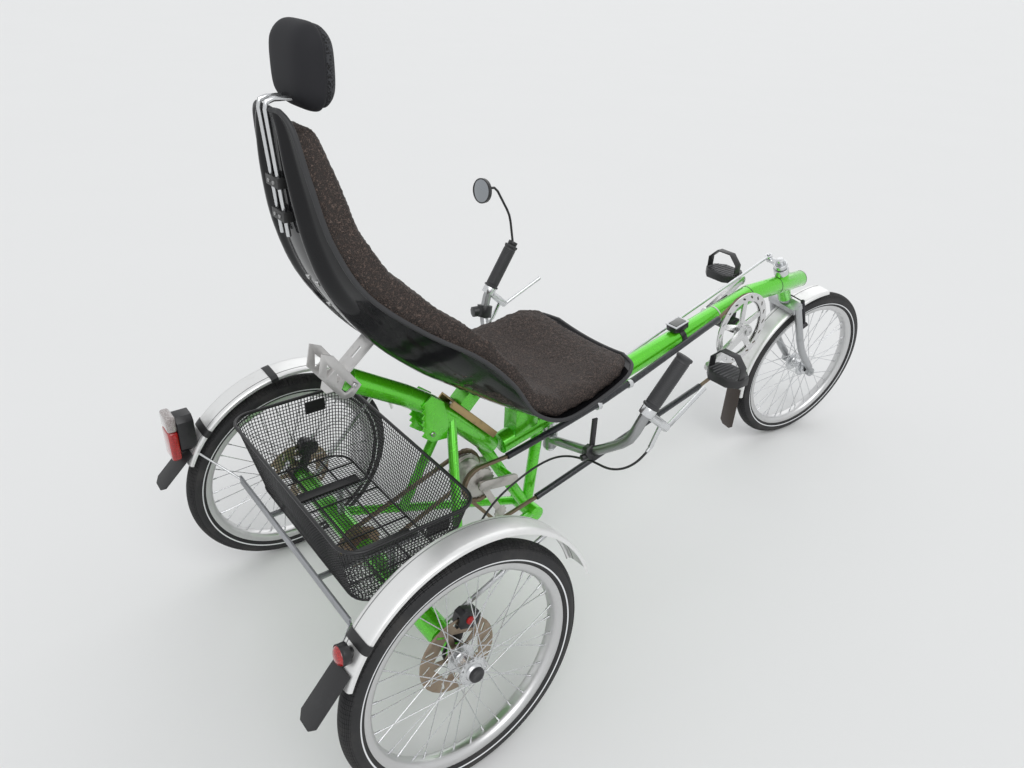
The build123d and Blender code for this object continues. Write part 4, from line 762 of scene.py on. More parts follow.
class TRICYCLE_OT_tyres(bpy.types.Operator):
    """Tyres with cut tread blocks and a reflecting stripe"""
    bl_idname = "tricycle.tyres"
    bl_label = "Tyres"

    def execute(self, context):
        sizes = context.scene.tricycle_sizes
        half = sizes.tyre_width / 2
        ring = sizes.tyre_radius - half
        for side, body in WHEELS:
            centre, axis = SPIN[body]
            bpy.ops.object.select_all(action="DESELECT")
            bpy.ops.mesh.primitive_torus_add(
                major_radius=ring, minor_radius=half - sizes.tread_depth,
                major_segments=TREAD_ROWS, minor_segments=TREAD_COLUMNS)
            tyre = context.object
            bpy.ops.object.mode_set(mode="EDIT")
            bpy.ops.mesh.select_mode(type="FACE")
            bpy.ops.mesh.select_all(action="DESELECT")
            bpy.ops.object.mode_set(mode="OBJECT")
            for polygon in tyre.data.polygons:
                middle = polygon.center
                out = math.hypot(middle.x, middle.y) - ring
                lean = math.degrees(math.atan2(abs(middle.z), out))
                polygon.select = lean < TREAD_LEAN
            bpy.ops.object.mode_set(mode="EDIT")
            bpy.ops.mesh.inset(use_individual=True, thickness=TREAD_GAP, depth=sizes.tread_depth)
            bpy.ops.object.mode_set(mode="OBJECT")
            for vertex in tyre.data.vertices:
                out = math.hypot(vertex.co.x, vertex.co.y)
                if out < sizes.bead_radius:
                    vertex.co.xy = vertex.co.xy * (sizes.bead_radius / out)
            tyre = settle(tyre, "tyre_tread_" + side, facing(centre, axis))
            smooth(tyre, 28)
            keep(tyre, tyre_finish(body), body, "tyre_rubber", "tyre_" + side)
        return {"FINISHED"}


class TRICYCLE_OT_wheels(bpy.types.Operator):
    """Rims, spokes, hubs, discs and calipers"""
    bl_idname = "tricycle.wheels"
    bl_label = "Wheels"

    def execute(self, context):
        steel = metal("spoke_steel", (0.66, 0.67, 0.68), 0.22, dirt=0.1)
        alloy = metal("hub_alloy", (0.66, 0.67, 0.68), 0.20, dirt=0.3)
        black = plastic("hub_cap_plastic", (0.02, 0.02, 0.022), 0.35)
        rotor = metal("disc_steel", (0.36, 0.29, 0.22), 0.34, dirt=0.5, dirt_colour=(0.14, 0.07, 0.035))
        outer = [(194.8, 2.5), (195.4, 8.5), (199, 14), (204, 16.4), (212.9, 16.8)]
        well = [(213, 15.4), (206.5, 14.8), (203.5, 10.5)]
        rim = mirrored(outer) + outer + well + [(203, 0)] + mirrored(well)
        for side, body in WHEELS:
            centre, axis = SPIN[body]
            if side == "right":
                axis = -axis
            place = facing(centre, axis)
            finish = wheel_metal("rim_alloy_" + side, body, (0.64, 0.64, 0.64), 0.24, 900.0)
            wall = lathe("rim_wall_" + side, closed(rim), place, steps=144)
            keep(wall, finish, body, "rim_alloy", "rim_" + side)
            front = side == "front"
            reach, inner = (34.0, 34.0) if front else (28.0, 38.0)
            waist = [(14, 12), (16.5, 15.6), (27.5, 17), (29, 18), (29, 20), (27.5, 21), (18, 22.6)]
            hub = ([(9, -inner), (15, -inner), (18, 2 - inner)] + mirrored(waist) + [(13.4, 0)] + waist
                   + [(16, reach - 1), (14.5, reach), (9, reach)])
            shell = lathe("shell", closed(hub), place, steps=60)
            spokes, nipples = [], []
            count = context.scene.tricycle_sizes.spoke_count
            for index in range(count):
                rim_turn = math.tau * index / count
                flange = 1 if index % 2 else -1
                lead = 1 if (index // 2) % 2 else -1
                hub_turn = rim_turn + lead * math.radians(SPOKE_LEAD)
                start = polar(SPOKE_START, hub_turn, flange * FLANGE_SIDE)
                end = polar(SPOKE_END, rim_turn, flange * RIM_SIDE)
                head = start + Vector((0, 0, flange * HEAD_LIFT))
                spokes.append([place @ start, place @ end])
                nipples.append([place @ end.lerp(start, NIPPLE_SHARE), place @ end])
                nipples.append([place @ head, place @ start.lerp(end, HEAD_SHARE)])
            wires = tubes("wires", spokes, SPOKE_RADIUS, 6)
            seats = tubes("seats", nipples, 2 * SPOKE_RADIUS, 8)
            keep(joined([shell, wires, seats], "hub_spokes_" + side), alloy if not front else steel,
                 body, "bright_steel", "hub_" + side)
            if front:
                continue
            cap = [(0, 35), (6, 34.8), (8, 35.8), (12, 35.6), (14.4, 33.6), (15, 30), (15, 28.4), (0, 28.4)]
            keep(lathe("cap_" + side, cap, place, steps=48), black, body, "black_plastic", "hub_cap_" + side)
            eased("brake_disc_" + side, rotor, 0.0003, 30)
        paint = plastic("caliper_paint", (0.012, 0.012, 0.014), 0.28)
        eased("brake_calipers", paint, 0.0022, 30)
        red = plastic("adjuster_red", (0.42, 0.012, 0.012), 0.3)
        for sign, side in SIDES:
            centre, axis = SPIN["rear_wheel_" + side]
            out = axis if sign > 0 else -axis
            place = facing(centre, out)
            turn = -sign * math.radians(CALIPER_TURN)
            middle = place @ polar(CALIPER_REACH, turn, CALIPER_SIDE)
            dial = [(0, 3.2), (6, 3.2), (7.5, 2.2), (8, 0), (8, -1), (0, -1)]
            keep(lathe("caliper_dial_" + side, dial, facing(middle, out), steps=32), red, "frame", "red_lens")
            radial = place.to_3x3() @ polar(1.0, turn)
            barrel = [(0, 14), (3, 14), (4.4, 12.5), (4.4, 5), (3, 4), (3, 0), (0, 0)]
            top = place @ polar(ADJUSTER_REACH, turn, ADJUSTER_SIDE)
            keep(lathe("caliper_adjuster_" + side, barrel, facing(top, radial), steps=24), alloy,
                 "frame", "bright_steel")
        return {"FINISHED"}


class TRICYCLE_OT_fenders(bpy.types.Operator):
    """Fenders, mudflaps, stays and tail lamps"""
    bl_idname = "tricycle.fenders"
    bl_label = "Fenders and lamps"

    def execute(self, context):
        outside = [(269.8, 18), (268.8, 25), (266, 28.2), (262, 29), (260, 28.8)]
        inside = [(261, 27.6), (265.2, 26.6), (267.4, 23.6), (268.2, 17.6)]
        skin = mirrored(outside) + [(270, 0)] + outside + inside + [(268.4, 0)] + mirrored(inside)
        places, pieces = {}, []
        for sign, side in SIDES:
            centre, axis = SPIN["rear_wheel_" + side]
            middle = centre + FENDER_SHIFT
            out = axis if sign > 0 else -axis
            places[side] = facing(middle, out * -sign)
            finish = fender_finish("fender_alloy_" + side, middle, out, -FENDER_GROOVE)
            strip = lathe("fender_strip_" + side, closed(skin), places[side], 96, *REAR_FENDER_SPAN)
            pieces.append(keep(strip, finish, "frame", "fender_alloy"))
        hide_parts("rear_fenders")
        clip_black = plastic("clip_black", (0.015, 0.015, 0.016), 0.4)
        outside = [(271.2, 18), (270.2, 25.6), (267, 29.6), (262, 30.6), (259, 30.2)]
        inside = [(259, 29.2), (262, 29.4), (266.4, 28.6), (269.2, 25.2), (270.2, 18)]
        clip = closed(mirrored(outside) + [(271.4, 0)] + outside + inside + [(270.4, 0)] + mirrored(inside))
        for side, turns in CLIP_TURNS.items():
            bands = [lathe("band", clip, places[side], 6, turn, CLIP_SWEEP) for turn in turns]
            keep(joined(bands, "fender_clips_" + side), clip_black, "frame", "black_plastic")
        turn = as_parked("fork")
        hub = at(*FRONT_HUB)
        place = turn @ facing(hub, (0, -1, 0))
        across = turn.to_3x3() @ Vector((0, 1, 0))
        finish = fender_finish("fender_alloy_front", turn @ hub, across, FENDER_GROOVE)
        strip = lathe("fender_strip_front", closed(skin), place, 72, *FRONT_FENDER_SPAN)
        keep(strip, finish, "fork", "fender_alloy", "fender_front")
        rubber = plastic("flap_rubber", (0.018, 0.018, 0.019), 0.42, 300.0, 0.0002, 0.5)
        eased("rear_flaps", rubber, 0.001, 30)
        brown = plastic("flap_brown", (0.040, 0.028, 0.022), 0.35, 300.0, 0.0002, 0.4)
        eased("flap_front", brown, 0.001, 30)
        eased("fender_stays", metal("stay_steel", (0.62, 0.63, 0.64), 0.25), 0.0005)
        black = plastic("lamp_black", (0.015, 0.015, 0.016), 0.3)
        eased("lamp_bases", black, 0.002, 40)
        red = self.lens("red_lens", (0.62, 0.012, 0.010), (0.30, 0.004, 0.004))
        clear = self.lens("clear_lens", (0.55, 0.52, 0.50), (0.30, 0.26, 0.25))
        turn = math.radians(ROUND_LAMP_TURN)
        foot = places["right"] @ polar(ROUND_LAMP_RADIUS, turn)
        spot = facing(foot, (-1, 0, 0.1))
        lens = [(0, 21.2), (5, 21), (10, 19.8), (14, 17.4), (16.4, 14.6), (16.8, 12.6), (0, 12.6)]
        keep(lathe("round_lens", lens, spot, steps=48), red, "frame", "red_lens", "lamp_lenses")
        bezel = closed([(17.0, 11.5), (18.4, 11.5), (18.4, 14.2), (17.4, 14.8), (17.0, 14.2)])
        keep(lathe("round_bezel", bezel, spot, steps=48), black, "frame", "black_plastic")
        for name, size, rise, glass in (
                ("tall_lens_clear", (20, 50, 38), 0.035, clear),
                ("tall_lens_red", (20.5, 50, 70), -0.019, red)):
            place = Matrix.Translation(at(*TALL_LAMP) + Vector((0, 0, rise)))
            keep(block(name, size, place, 6, 4), glass, "frame", "red_lens")
        return {"FINISHED"}

    def lens(self, name, colour, deep):
        lens = Finish(name, coat_weight=1.0, roughness=0.12)
        ribs = lens.cells(420.0)
        lens.feed("Base Color", lens.blend(ribs.over(0.1, 0.6), colour, deep))
        lens.relief(ribs, 0.0003, 0.5)
        return lens.material


def seat_row(share):
    """Values of the seat at a share of its length, smooth between its stations, and the way out there."""
    last = len(SEAT_STATIONS) - 1
    where = share * last
    index = min(int(where), last - 1)
    step = where - index
    stations = (SEAT_STATIONS[min(max(index + offset, 0), last)] for offset in (-1, 0, 1, 2))
    values, slopes = [], []
    for a, b, c, d in zip(*stations):
        linear = c - a
        square = 2 * a - 5 * b + 4 * c - d
        cube = 3 * b - a - 3 * c + d
        values.append(0.5 * (2 * b + linear * step + square * step ** 2 + cube * step ** 3))
        slopes.append(0.5 * (linear + 2 * square * step + 3 * cube * step ** 2))
    along = Vector((slopes[0], 0, slopes[1])).normalized()
    return values, Vector((-along.z, 0, along.x))


def shell_height(values, y):
    """Height of the underside of the shell over its middle line, with the two ridges of its back."""
    half, rise, ridge = values[2:]
    inner = half - SHELL_BRIM
    groove = min(GROOVE_HALF, GROOVE_SHARE * inner)
    top = min(RIDGE_PLACE, RIDGE_SHARE * inner)
    end = (top + inner) / 2 + RIDGE_FOOT
    reach = abs(y)
    if reach <= top:
        share = max(0.0, (reach - groove) / (top - groove))
    else:
        share = max(0.0, 1 - (reach - top) / (end - top))
    share = share * share * (3 - 2 * share)
    return rise * (y / half) ** 2 - ridge * share


class TRICYCLE_OT_seat(bpy.types.Operator):
    """Gloss shell with its rubber edge, the filament mat and the headrest"""
    bl_idname = "tricycle.seat"
    bl_label = "Seat"

    def execute(self, context):
        self.shell(context)
        self.mat(context)
        self.headrest()
        return {"FINISHED"}

    def shell(self, context):
        finish = Finish("gloss_shell", coat_weight=0.12, coat_roughness=0.04, specular_ior_level=0.2)
        smear = finish.noise(9.0, 5.0, 0.6).over(0.45, 0.8)
        base = tuple(context.scene.tricycle_colours.shell)
        finish.feed("Base Color", finish.blend(smear * 0.4, base, shade(base, 2.4)))
        finish.feed("Roughness", 0.12 + smear * 0.16)
        finish.relief(finish.noise(18.0, 2.0), 0.0004, 0.2)
        bpy.ops.object.select_all(action="DESELECT")
        columns, rows = SHELL_GRID
        bpy.ops.mesh.primitive_grid_add(x_subdivisions=columns, y_subdivisions=rows, size=2.0)
        shell = context.object
        edge = {}
        for vertex in shell.data.vertices:
            across, share = vertex.co.x, (vertex.co.y + 1) / 2
            values, out = seat_row(share)
            y = values[2] * across
            spot = at(values[0], y, values[1]) + out * ((shell_height(values, y) + SHELL_WALL / 2) / 1000)
            if abs(across) > 0.999 or share < 0.001 or share > 0.999:
                edge[(round(across, 4), round(share, 4))] = spot
            vertex.co = spot
        modified(shell, "SOLIDIFY", thickness=SHELL_WALL / 1000, offset=0.0)
        edited()
        bpy.ops.mesh.normals_make_consistent(inside=False)
        shell = smooth(settle(shell, "shell_gloss"), 40)
        keep(shell, finish.material, "frame", "gloss_shell", "seat_shell")
        loop = []
        for keys in (sorted(k for k in edge if k[0] < -0.999), sorted(k for k in edge if k[1] > 0.999),
                     sorted((k for k in edge if k[0] > 0.999), reverse=True),
                     sorted((k for k in edge if k[1] < 0.001), reverse=True)):
            for key in keys:
                if not loop or (edge[key] - loop[-1]).length > 0.002:
                    loop.append(edge[key])
        trim = tubes("edge_trim", [loop + loop[:2]], TRIM_RADIUS, 10)
        keep(trim, plastic("edge_rubber", (0.03, 0.03, 0.032), 0.5), "frame", "rubber")
        steel = metal("shell_bolt", (0.6, 0.6, 0.6), 0.3)
        spots = []
        for share in SHELL_BOLT_SHARES:
            values, out = seat_row(share)
            for y in (-18, 18):
                spots.append((at(values[0], y, values[1]) + out * (shell_height(values, y) / 1000), -out))
        bolts("shell_bolts", spots, 5.5, 3.0, steel)

    def mat(self, context):
        finish = Finish("filament_mat", roughness=0.7)
        curl = finish.noise(240.0, 1.5, 0.5, distortion=0.8)
        thread = 1.0 - abs(curl - 0.5).over(0.01, 0.06)
        deep = finish.noise(120.0, 2.0)
        base = tuple(context.scene.tricycle_colours.mat)
        # Threads at 1.7 times the brown; the gaps between them are painted shade at 0.22 times, the shade deep
        # inside the mat
        finish.feed("Base Color", finish.blend(thread, shade(base, 0.22), shade(base, 1.7)))
        finish.relief(thread * (0.5 + deep), 0.0025)
        piece = swollen("seat_mat", "mat_filament", *MAT_CLOTH)
        pushed(piece, lambda spot: sum(noise.noise(spot * scale) * depth for scale, depth in MAT_CURLS))
        keep(smooth(piece, 80), finish.material, "frame", "mat_fabric", "seat_mat")

    def headrest(self):
        finish = Finish("spacer_mesh", roughness=0.8)
        point = finish.place()
        crease = at(PAD_CREASE, 0, 0).x
        front = (finish.part(point, "X") - crease).over(-0.002, 0.002)
        hole = finish.cells(300.0).over(0.25, 0.6)
        # Painted shade: the holes of the spacer mesh are near black, the strands between them paler
        mesh_and_hole_shade = finish.blend(hole, (0.004, 0.004, 0.004), (0.040, 0.041, 0.046))
        finish.feed("Base Color", finish.blend(front, (0.010, 0.010, 0.013), mesh_and_hole_shade))
        finish.relief(hole * front, 0.0014)
        piece = swollen("headrest_pad", "pad_fabric", *PAD_CLOTH)
        pushed(piece, lambda spot: -0.0035 * math.exp(-((spot.x - crease) / 0.0035) ** 2))
        keep(smooth(piece, 80), finish.material, "frame", "pad_fabric", "headrest_pad")
        eased("headrest_rods", metal("rod_steel", (0.66, 0.67, 0.68), 0.16, dirt=0.1), 0.0004)
        eased("headrest_clamps", plastic("clamp_black", (0.02, 0.02, 0.02), 0.4), 0.0015)
        spots = []
        for z in CLAMP_HEIGHTS:
            x = ROD_X - ROD_LEAN * (z - ROD_LOW) / (ROD_HIGH - ROD_LOW)
            spots += [(at(x, y, z), (-1, 0, 0)) for y in (-9.0, 9.0)]
        bolts("rod_bolts", spots, 3.0, 2.2, metal("rod_bolt", (0.5, 0.5, 0.5), 0.34))


def pushed(piece, height):
    """Moves each point of a piece along its normal, by a height in metres worked out from its place."""
    moves = [vertex.normal * height(vertex.co) for vertex in piece.data.vertices]
    for vertex, move in zip(piece.data.vertices, moves):
        vertex.co += move


def swollen(node, name, voxel, cap, rounds):
    """A CAD soft solid, remeshed, then swollen as cloth within a cap in millimetres, and subdivided."""
    piece = copied(node, name)
    modified(piece, "REMESH", mode="VOXEL", voxel_size=voxel)
    modified(piece, "SMOOTH", factor=0.5, iterations=rounds)
    before = [vertex.co.copy() for vertex in piece.data.vertices]
    cloth = piece.modifiers.new("cloth", "CLOTH")
    cloth.settings.use_pressure = True
    cloth.settings.uniform_pressure_force = CLOTH_PRESSURE
    cloth.settings.effector_weights.gravity = 0.0
    scene = bpy.context.scene
    cloth.point_cache.frame_start = 1
    cloth.point_cache.frame_end = CLOTH_FRAMES
    for step in range(1, CLOTH_FRAMES + 1):
        scene.frame_set(step)
    only(piece)
    bpy.ops.object.modifier_apply(modifier=cloth.name)
    scene.frame_set(1)
    for vertex, old in zip(piece.data.vertices, before):
        move = vertex.co - old
        if move.length > cap / 1000:
            vertex.co = old + move * (cap / 1000 / move.length)
    modified(piece, "SMOOTH", factor=0.5, iterations=2)
    modified(piece, "SUBSURF", levels=1, render_levels=1)
    return settle(piece, name)


def basket_outline(z, grow=0.0):
    """Points round the basket at one height, its corners rounded."""
    inset = BASKET_TAPER * (BASKET_RIM - z) / (BASKET_RIM - BASKET_FLOOR) - grow
    rear, front, half = BASKET_REAR + inset, BASKET_FRONT - inset, BASKET_HALF - inset
    corner = BASKET_CORNER
    ring = []
    for x, y, first in ((front - corner, half - corner, 0), (rear + corner, half - corner, 90),
                        (rear + corner, corner - half, 180), (front - corner, corner - half, 270)):
        for step in range(7):
            turn = math.radians(first + 15 * step)
            ring.append(at(x + corner * math.cos(turn), y + corner * math.sin(turn), z))
    return ring


class TRICYCLE_OT_basket(bpy.types.Operator):
    """Wire basket over the rear axle"""
    bl_idname = "tricycle.basket"
    bl_label = "Basket"

    def execute(self, context):
        black = plastic("basket_black", (0.012, 0.012, 0.013), 0.35)
        pitch = context.scene.tricycle_sizes.mesh_pitch
        rows = int((BASKET_RIM - BASKET_FLOOR) / 1000 / pitch)
        runs = []
        for row in range(rows + 1):
            z = BASKET_FLOOR + WIRE_LIFT + (BASKET_RIM - 4 - BASKET_FLOOR) * row / rows
            runs.append(closed(basket_outline(z)))
        top = basket_outline(BASKET_RIM - 2)
        low = basket_outline(BASKET_FLOOR + WIRE_LIFT)
        total = sum((b - a).length for a, b in zip(top, top[1:] + top[:1]))
        count = int(total / pitch)
        upper, lower = self.even(top, count), self.even(low, count)
        runs += [[a, b] for a, b in zip(upper, lower)]
        walls = tubes("walls", runs, WIRE_RADIUS, 4)
        floor = []
        half = BASKET_HALF - BASKET_TAPER - 1
        rear, front = BASKET_REAR + BASKET_TAPER + 1, BASKET_FRONT - BASKET_TAPER - 1
        step = pitch * 1000
        y = -half + step
        while y < half:
            trim = CORNER_TRIM if abs(y) > half - BASKET_CORNER + CORNER_SLACK else 1
            floor.append([at(x, y, BASKET_FLOOR + WIRE_LIFT) for x in (rear + trim, front - trim)])
            y += step
        x = rear + step
        while x < front:
            trim = CORNER_TRIM if min(x - rear, front - x) < BASKET_CORNER - CORNER_SLACK else 1
            floor.append([at(x, y, BASKET_FLOOR + CROSS_WIRE_LIFT) for y in (trim - half, half - trim)])
            x += step
        base = tubes("base", floor, WIRE_RADIUS, 4)
        keep(joined([walls, base], "basket_mesh"), black, "frame", "black_metal", "basket")
        rim = basket_outline(BASKET_RIM, 1.0)
        foot = basket_outline(BASKET_FLOOR + 1, 0.5)
        thick = tubes("rim", [rim + rim[:2]], RIM_RADIUS, 12)
        thin = tubes("foot", [foot + foot[:2]], FOOT_RADIUS, 10)
        bars = [[at(x, y, BASKET_FLOOR + BAR_LIFT) for x in (rear, front)] for y in BAR_PLACES]
        bars += [[at(x, y, BASKET_FLOOR + CROSS_BAR_LIFT) for y in (-half, half)]
                 for x in (rear + BAR_INSET, front - BAR_INSET)]
        stays = tubes("bars", bars, BAR_RADIUS, 8)
        keep(joined([thick, thin, stays], "basket_rim"), black, "frame", "black_metal")
        plates = [block("pad", size, Matrix.Translation(at(*place)), edge)
                  for place, size, edge in BASKET_PLATES]
        keep(joined(plates, "basket_plates"), black, "frame", "black_plastic")
        return {"FINISHED"}

    def even(self, ring, count):
        points = ring + ring[:1]
        lengths = [(b - a).length for a, b in zip(points, points[1:])]
        total = sum(lengths)
        found, index, walked = [], 0, 0.0
        for number in range(count):
            wanted = total * number / count
            while index < len(lengths) - 1 and walked + lengths[index] < wanted:
                walked += lengths[index]
                index += 1
            found.append(points[index].lerp(points[index + 1], (wanted - walked) / lengths[index]))
        return found


class TRICYCLE_OT_drive(bpy.types.Operator):
    """Cranks, chainring, pedals, chains, guide tubes and gear hub"""
    bl_idname = "tricycle.drive"
    bl_label = "Drive"

    def execute(self, context):
        eased("crankset", metal("crank_alloy", (0.68, 0.68, 0.68), 0.2, dirt=0.2), 0.0006)
        worn = metal("worn_chain", (0.22, 0.17, 0.12), 0.4, dirt=0.7, dirt_colour=(0.05, 0.028, 0.014))
        dress(worn, "chains")
        self.links(worn)
        rusty = metal("worn_sprocket", (0.28, 0.20, 0.14), 0.42, dirt=0.8, dirt_colour=(0.07, 0.032, 0.014))
        eased("axle_sprocket", rusty, 0.0003)
        eased("gear_plates", metal("gear_plate_alloy", (0.52, 0.50, 0.47), 0.34, dirt=0.6), 0.0006)
        eased("gear_hub", metal("cast_hub", (0.52, 0.50, 0.47), 0.34, dirt=0.6), 0.0008)
        tube = plastic("chain_tube", (0.022, 0.024, 0.028), 0.22)
        eased("chain_tubes", tube, 0.0003)
        eased("tube_clips", metal("clip_steel", (0.66, 0.67, 0.68), 0.25), 0.0005)
        eased("bottom_bracket", plastic("bracket_black", (0.014, 0.014, 0.015), 0.35), 0.0015)
        black = plastic("pedal_black", (0.02, 0.02, 0.021), 0.4)
        steel = metal("crank_bolt", (0.6, 0.6, 0.6), 0.25)
        for sign, side in SIDES:
            body = "pedal_" + side
            eased(body, black, 0.0018)
            self.ribs(side, body)
            centre, _ = SPIN["cranks"]
            head = [(0, 3), (3.5, 3), (3.5, 6), (9.5, 6), (12.5, 4), (13, 0), (0, 0)]
            place = facing(centre + Vector((0, sign * CRANK_END, 0)), (0, sign, 0))
            cap = lathe("crank_cap_" + side, head, place, 32)
            keep(cap, steel, "cranks", "bright_steel")
        return {"FINISHED"}

    def links(self, worn):
        """Side plates of the chain on its bare runs round the chainring and the two sprockets."""
        outline = []
        for centre, first in ((CHAIN_PITCH / 2, -90), (-CHAIN_PITCH / 2, 90)):
            for step in range(5):
                turn = math.radians(first + 45 * step)
                outline.append((centre + LINK_RADIUS * math.cos(turn), LINK_RADIUS * math.sin(turn)))
        model = plate("link", outline, LINK_WALL, Matrix.Identity(4), 0.2)
        pieces = []
        for (x, y, z), radius, first, last in CHAIN_ARCS:
            count = int(math.radians(last - first) * radius / CHAIN_PITCH)
            for index in range(count):
                turn = math.radians(first) + (index + 0.5) * CHAIN_PITCH / radius
                spot = at(x + radius * math.cos(turn), y, z + radius * math.sin(turn))
                for side in (-1, 1):
                    copy = model.copy()
                    copy.data = model.data.copy()
                    bpy.context.collection.objects.link(copy)
                    aside = side * (LINK_ASIDE + LINK_STAGGER * (index % 2)) / 1000
                    copy.matrix_world = facing(spot + Vector((0, aside, 0)), (0, -1, 0), (
                        -math.sin(turn), 0, math.cos(turn)))
                    pieces.append(copy)
        bpy.data.objects.remove(model)
        keep(joined(pieces, "chain_links"), worn, "frame", "worn_steel")

    def ribs(self, side, body):
        """Grey ribs over both faces of a pedal."""
        grey = plastic("pedal_grey_" + side, (0.10, 0.10, 0.105), 0.5)
        pin = SPIN[body][0]
        bars = []
        for face in (1, -1):
            for step in range(-4, 5):
                half = RIB_LONG if abs(step) < 3 else RIB_SHORT
                bars.append([pin + Vector((x / 1000, step * RIB_PITCH / 1000, face * RIB_LIFT / 1000))
                             for x in (-half, half)])
        keep(tubes("pedal_ribs_" + side, bars, RIB_RADIUS, 6), grey, body, "black_plastic")


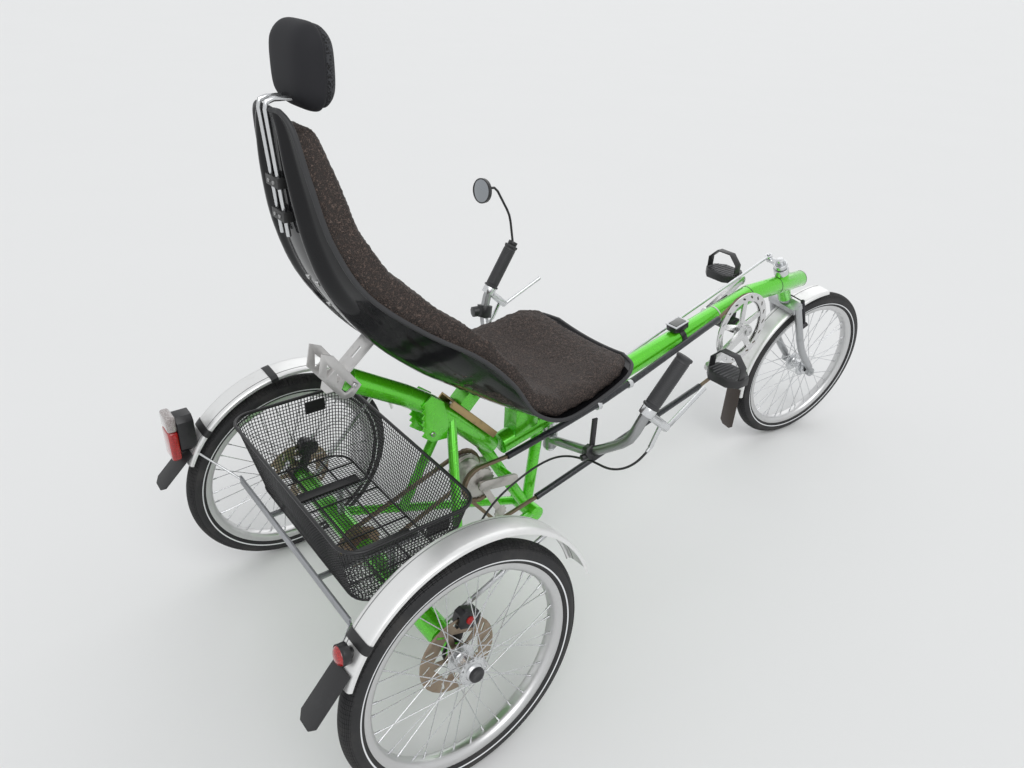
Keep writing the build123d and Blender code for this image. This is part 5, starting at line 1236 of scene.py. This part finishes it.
class TRICYCLE_OT_steering(bpy.types.Operator):
    """Fork, handlebar, levers, grips, mirror and steering rod"""
    bl_idname = "tricycle.steering"
    bl_label = "Steering"

    def execute(self, context):
        eased("fork", metal("fork_paint", (0.46, 0.47, 0.48), 0.26, dirt=0.2), 0.0012)
        polished = metal("polished_alloy", (0.70, 0.71, 0.72), 0.18, dirt=0.15)
        for node in ("headset_cap", "steering_arm", "steering_rod", "bar_pivot"):
            eased(node, polished, 0.0006)
        black = plastic("clamp_plastic", (0.016, 0.016, 0.017), 0.3)
        eased("bar_clamps", black, 0.0012)
        eased("brake_levers", polished, 0.0012, 62)
        eased("front_brake", metal("brake_black", (0.05, 0.05, 0.055), 0.3, dirt=0.3), 0.0008, 62)
        eased("handlebar", metal("bar_grey", (0.38, 0.385, 0.39), 0.24, dirt=0.12), 0.0005)
        self.grips()
        self.mirror(black)
        self.computer(black)
        self.cables()
        return {"FINISHED"}

    def grips(self):
        rubber = plastic("grip_rubber", (0.035, 0.035, 0.037), 0.5, 500.0, 0.0002, 0.3)
        turn = as_parked("handlebar")
        pieces = []
        for sign, _ in SIDES:
            corner, tip = (turn @ at(x, sign * y, z) for x, y, z in (GRIP_CORNER, GRIP_TIP))
            along = (tip - corner).normalized()
            start = corner + along * (GRIP_INSET / 1000)
            length = (tip - start).length * 1000 + 4
            profile = [(11.2, 0), (17.6, 0), (18.2, 1.5), (18.2, 4), (15.4, 5.5)]
            height = 9.0
            while height < length - 12:
                profile += [(15.2, height), (15.9, height + 0.7), (15.9, height + 2.3), (15.2, height + 3.0)]
                height += 3.6
            profile += [(15.4, length - 7), (17.0, length - 5.5), (17.0, length - 1.2), (15.6, length),
                        (0, length)]
            pieces.append(lathe("grip", profile, facing(start, along), steps=40, angle=50))
        keep(joined(pieces, "ribbed_grips"), rubber, "handlebar", "rubber", "grips")

    def mirror(self, black):
        eased("mirror", black, 0.0008)
        turn = as_parked("handlebar")
        place = facing(turn @ at(*MIRROR_CENTRE), turn.to_3x3() @ MIRROR_AIM)
        back = [(0, -11), (9, -10.6), (18, -9), (25, -6), (28.6, -2), (29.4, 2), (29.4, 5), (28, 5.6),
                (27, 4.6), (0, 4.6)]
        keep(lathe("mirror_shell", back, place, steps=48), black, "handlebar", "black_plastic")
        glass = Finish("mirror_glass", metallic=1.0)
        dust = glass.noise(60.0, 5.0)
        glass.feed("Base Color", glass.blend(dust * 0.2, (0.30, 0.32, 0.34), (0.4, 0.4, 0.4)))
        glass.feed("Roughness", 0.03 + dust * 0.05)
        face = [(0, 5.2), (26, 4.9), (26.6, 4.5), (0, 4.5)]
        keep(lathe("mirror_face", face, place, steps=48), glass.material, "handlebar", "bright_steel")

    def computer(self, black):
        eased("bike_computer", black, 0.0012)
        rise = BOOM_SLOPE[2] / BOOM_SLOPE[0]
        middle = at(COMPUTER_X, 0, BOOM_START[1] + (COMPUTER_X - BOOM_START[0]) * rise)
        place = Matrix.Translation(middle) @ Matrix.Rotation(-math.atan(rise), 4, "Y")
        rim = metal("computer_frame", (0.55, 0.56, 0.57), 0.25)
        glass = Finish("computer_glass", coat_weight=1.0, coat_roughness=0.02)
        haze = glass.noise(80.0, 3.0)
        glass.feed("Base Color", glass.blend(haze, (0.05, 0.055, 0.05), (0.09, 0.095, 0.085)))
        glass.feed("Roughness", 0.15 + haze * 0.1)
        for name, size, rise, edge, material, slot in (
                ("computer_rim", (50, 38, 3), COMPUTER_RIM_RISE, 1.3, rim, "bright_steel"),
                ("computer_screen", (38, 27, 2), COMPUTER_SCREEN_RISE, 0.8, glass.material, "black_plastic")):
            keep(block(name, size, place @ Matrix.Translation((0, 0, rise)), edge), material, "frame", slot)

    def cables(self):
        sheath = plastic("cable_black", (0.012, 0.012, 0.013), 0.35)
        bright = metal("cable_steel", (0.66, 0.67, 0.68), 0.25)
        bar = as_parked("handlebar")

        def held(points):
            return [bar @ at(*point) for point in points]

        right = held(mirrored_points(CABLE_RIGHT_HELD))
        onward = [at(*point) for point in CABLE_RIGHT_FREE]
        left = held(CABLE_LEFT_HELD)
        beyond = [at(*point) for point in CABLE_LEFT_FREE]
        for name, near, far in (("cable_right", right, onward), ("cable_left", left, beyond)):
            cable = tubes(name, [near + far], 0.0025, 8, 4)
            cable.data.materials.append(sheath)
            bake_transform(cable)
        inner = [held(points) for points in (mirrored_points(CABLE_END), CABLE_END)]
        keep(tubes("cable_ends", inner, 0.0036, 10), bright, "handlebar", "bright_steel")


STEPS = (
    TRICYCLE_OT_stage,
    TRICYCLE_OT_frame,
    TRICYCLE_OT_tyres,
    TRICYCLE_OT_wheels,
    TRICYCLE_OT_fenders,
    TRICYCLE_OT_seat,
    TRICYCLE_OT_basket,
    TRICYCLE_OT_drive,
    TRICYCLE_OT_steering,
)


class TRICYCLE_PT_panel(bpy.types.Panel):
    """Steps and values of the tricycle"""
    bl_label = "Tricycle"
    bl_idname = "TRICYCLE_PT_panel"
    bl_space_type = "VIEW_3D"
    bl_region_type = "UI"
    bl_category = "Tricycle"

    def draw(self, context):
        column = self.layout.column()
        for step in STEPS:
            column.operator(step.bl_idname)
        for group in (context.scene.tricycle_sizes, context.scene.tricycle_colours):
            for name in group.__annotations__:
                column.prop(group, name)


CLASSES = (TricycleSizes, TricycleColours, *STEPS, TRICYCLE_PT_panel)


def register():
    for item in CLASSES:
        bpy.utils.register_class(item)
    bpy.types.Scene.tricycle_sizes = bpy.props.PointerProperty(type=TricycleSizes)
    bpy.types.Scene.tricycle_colours = bpy.props.PointerProperty(type=TricycleColours)


def unregister():
    del bpy.types.Scene.tricycle_colours
    del bpy.types.Scene.tricycle_sizes
    for item in reversed(CLASSES):
        bpy.utils.unregister_class(item)


def main():
    register()
    bpy.ops.tricycle.stage()
    bpy.ops.tricycle.frame()
    bpy.ops.tricycle.tyres()
    bpy.ops.tricycle.wheels()
    bpy.ops.tricycle.fenders()
    bpy.ops.tricycle.seat()
    bpy.ops.tricycle.basket()
    bpy.ops.tricycle.drive()
    bpy.ops.tricycle.steering()


if __name__ == "__main__":
    main()
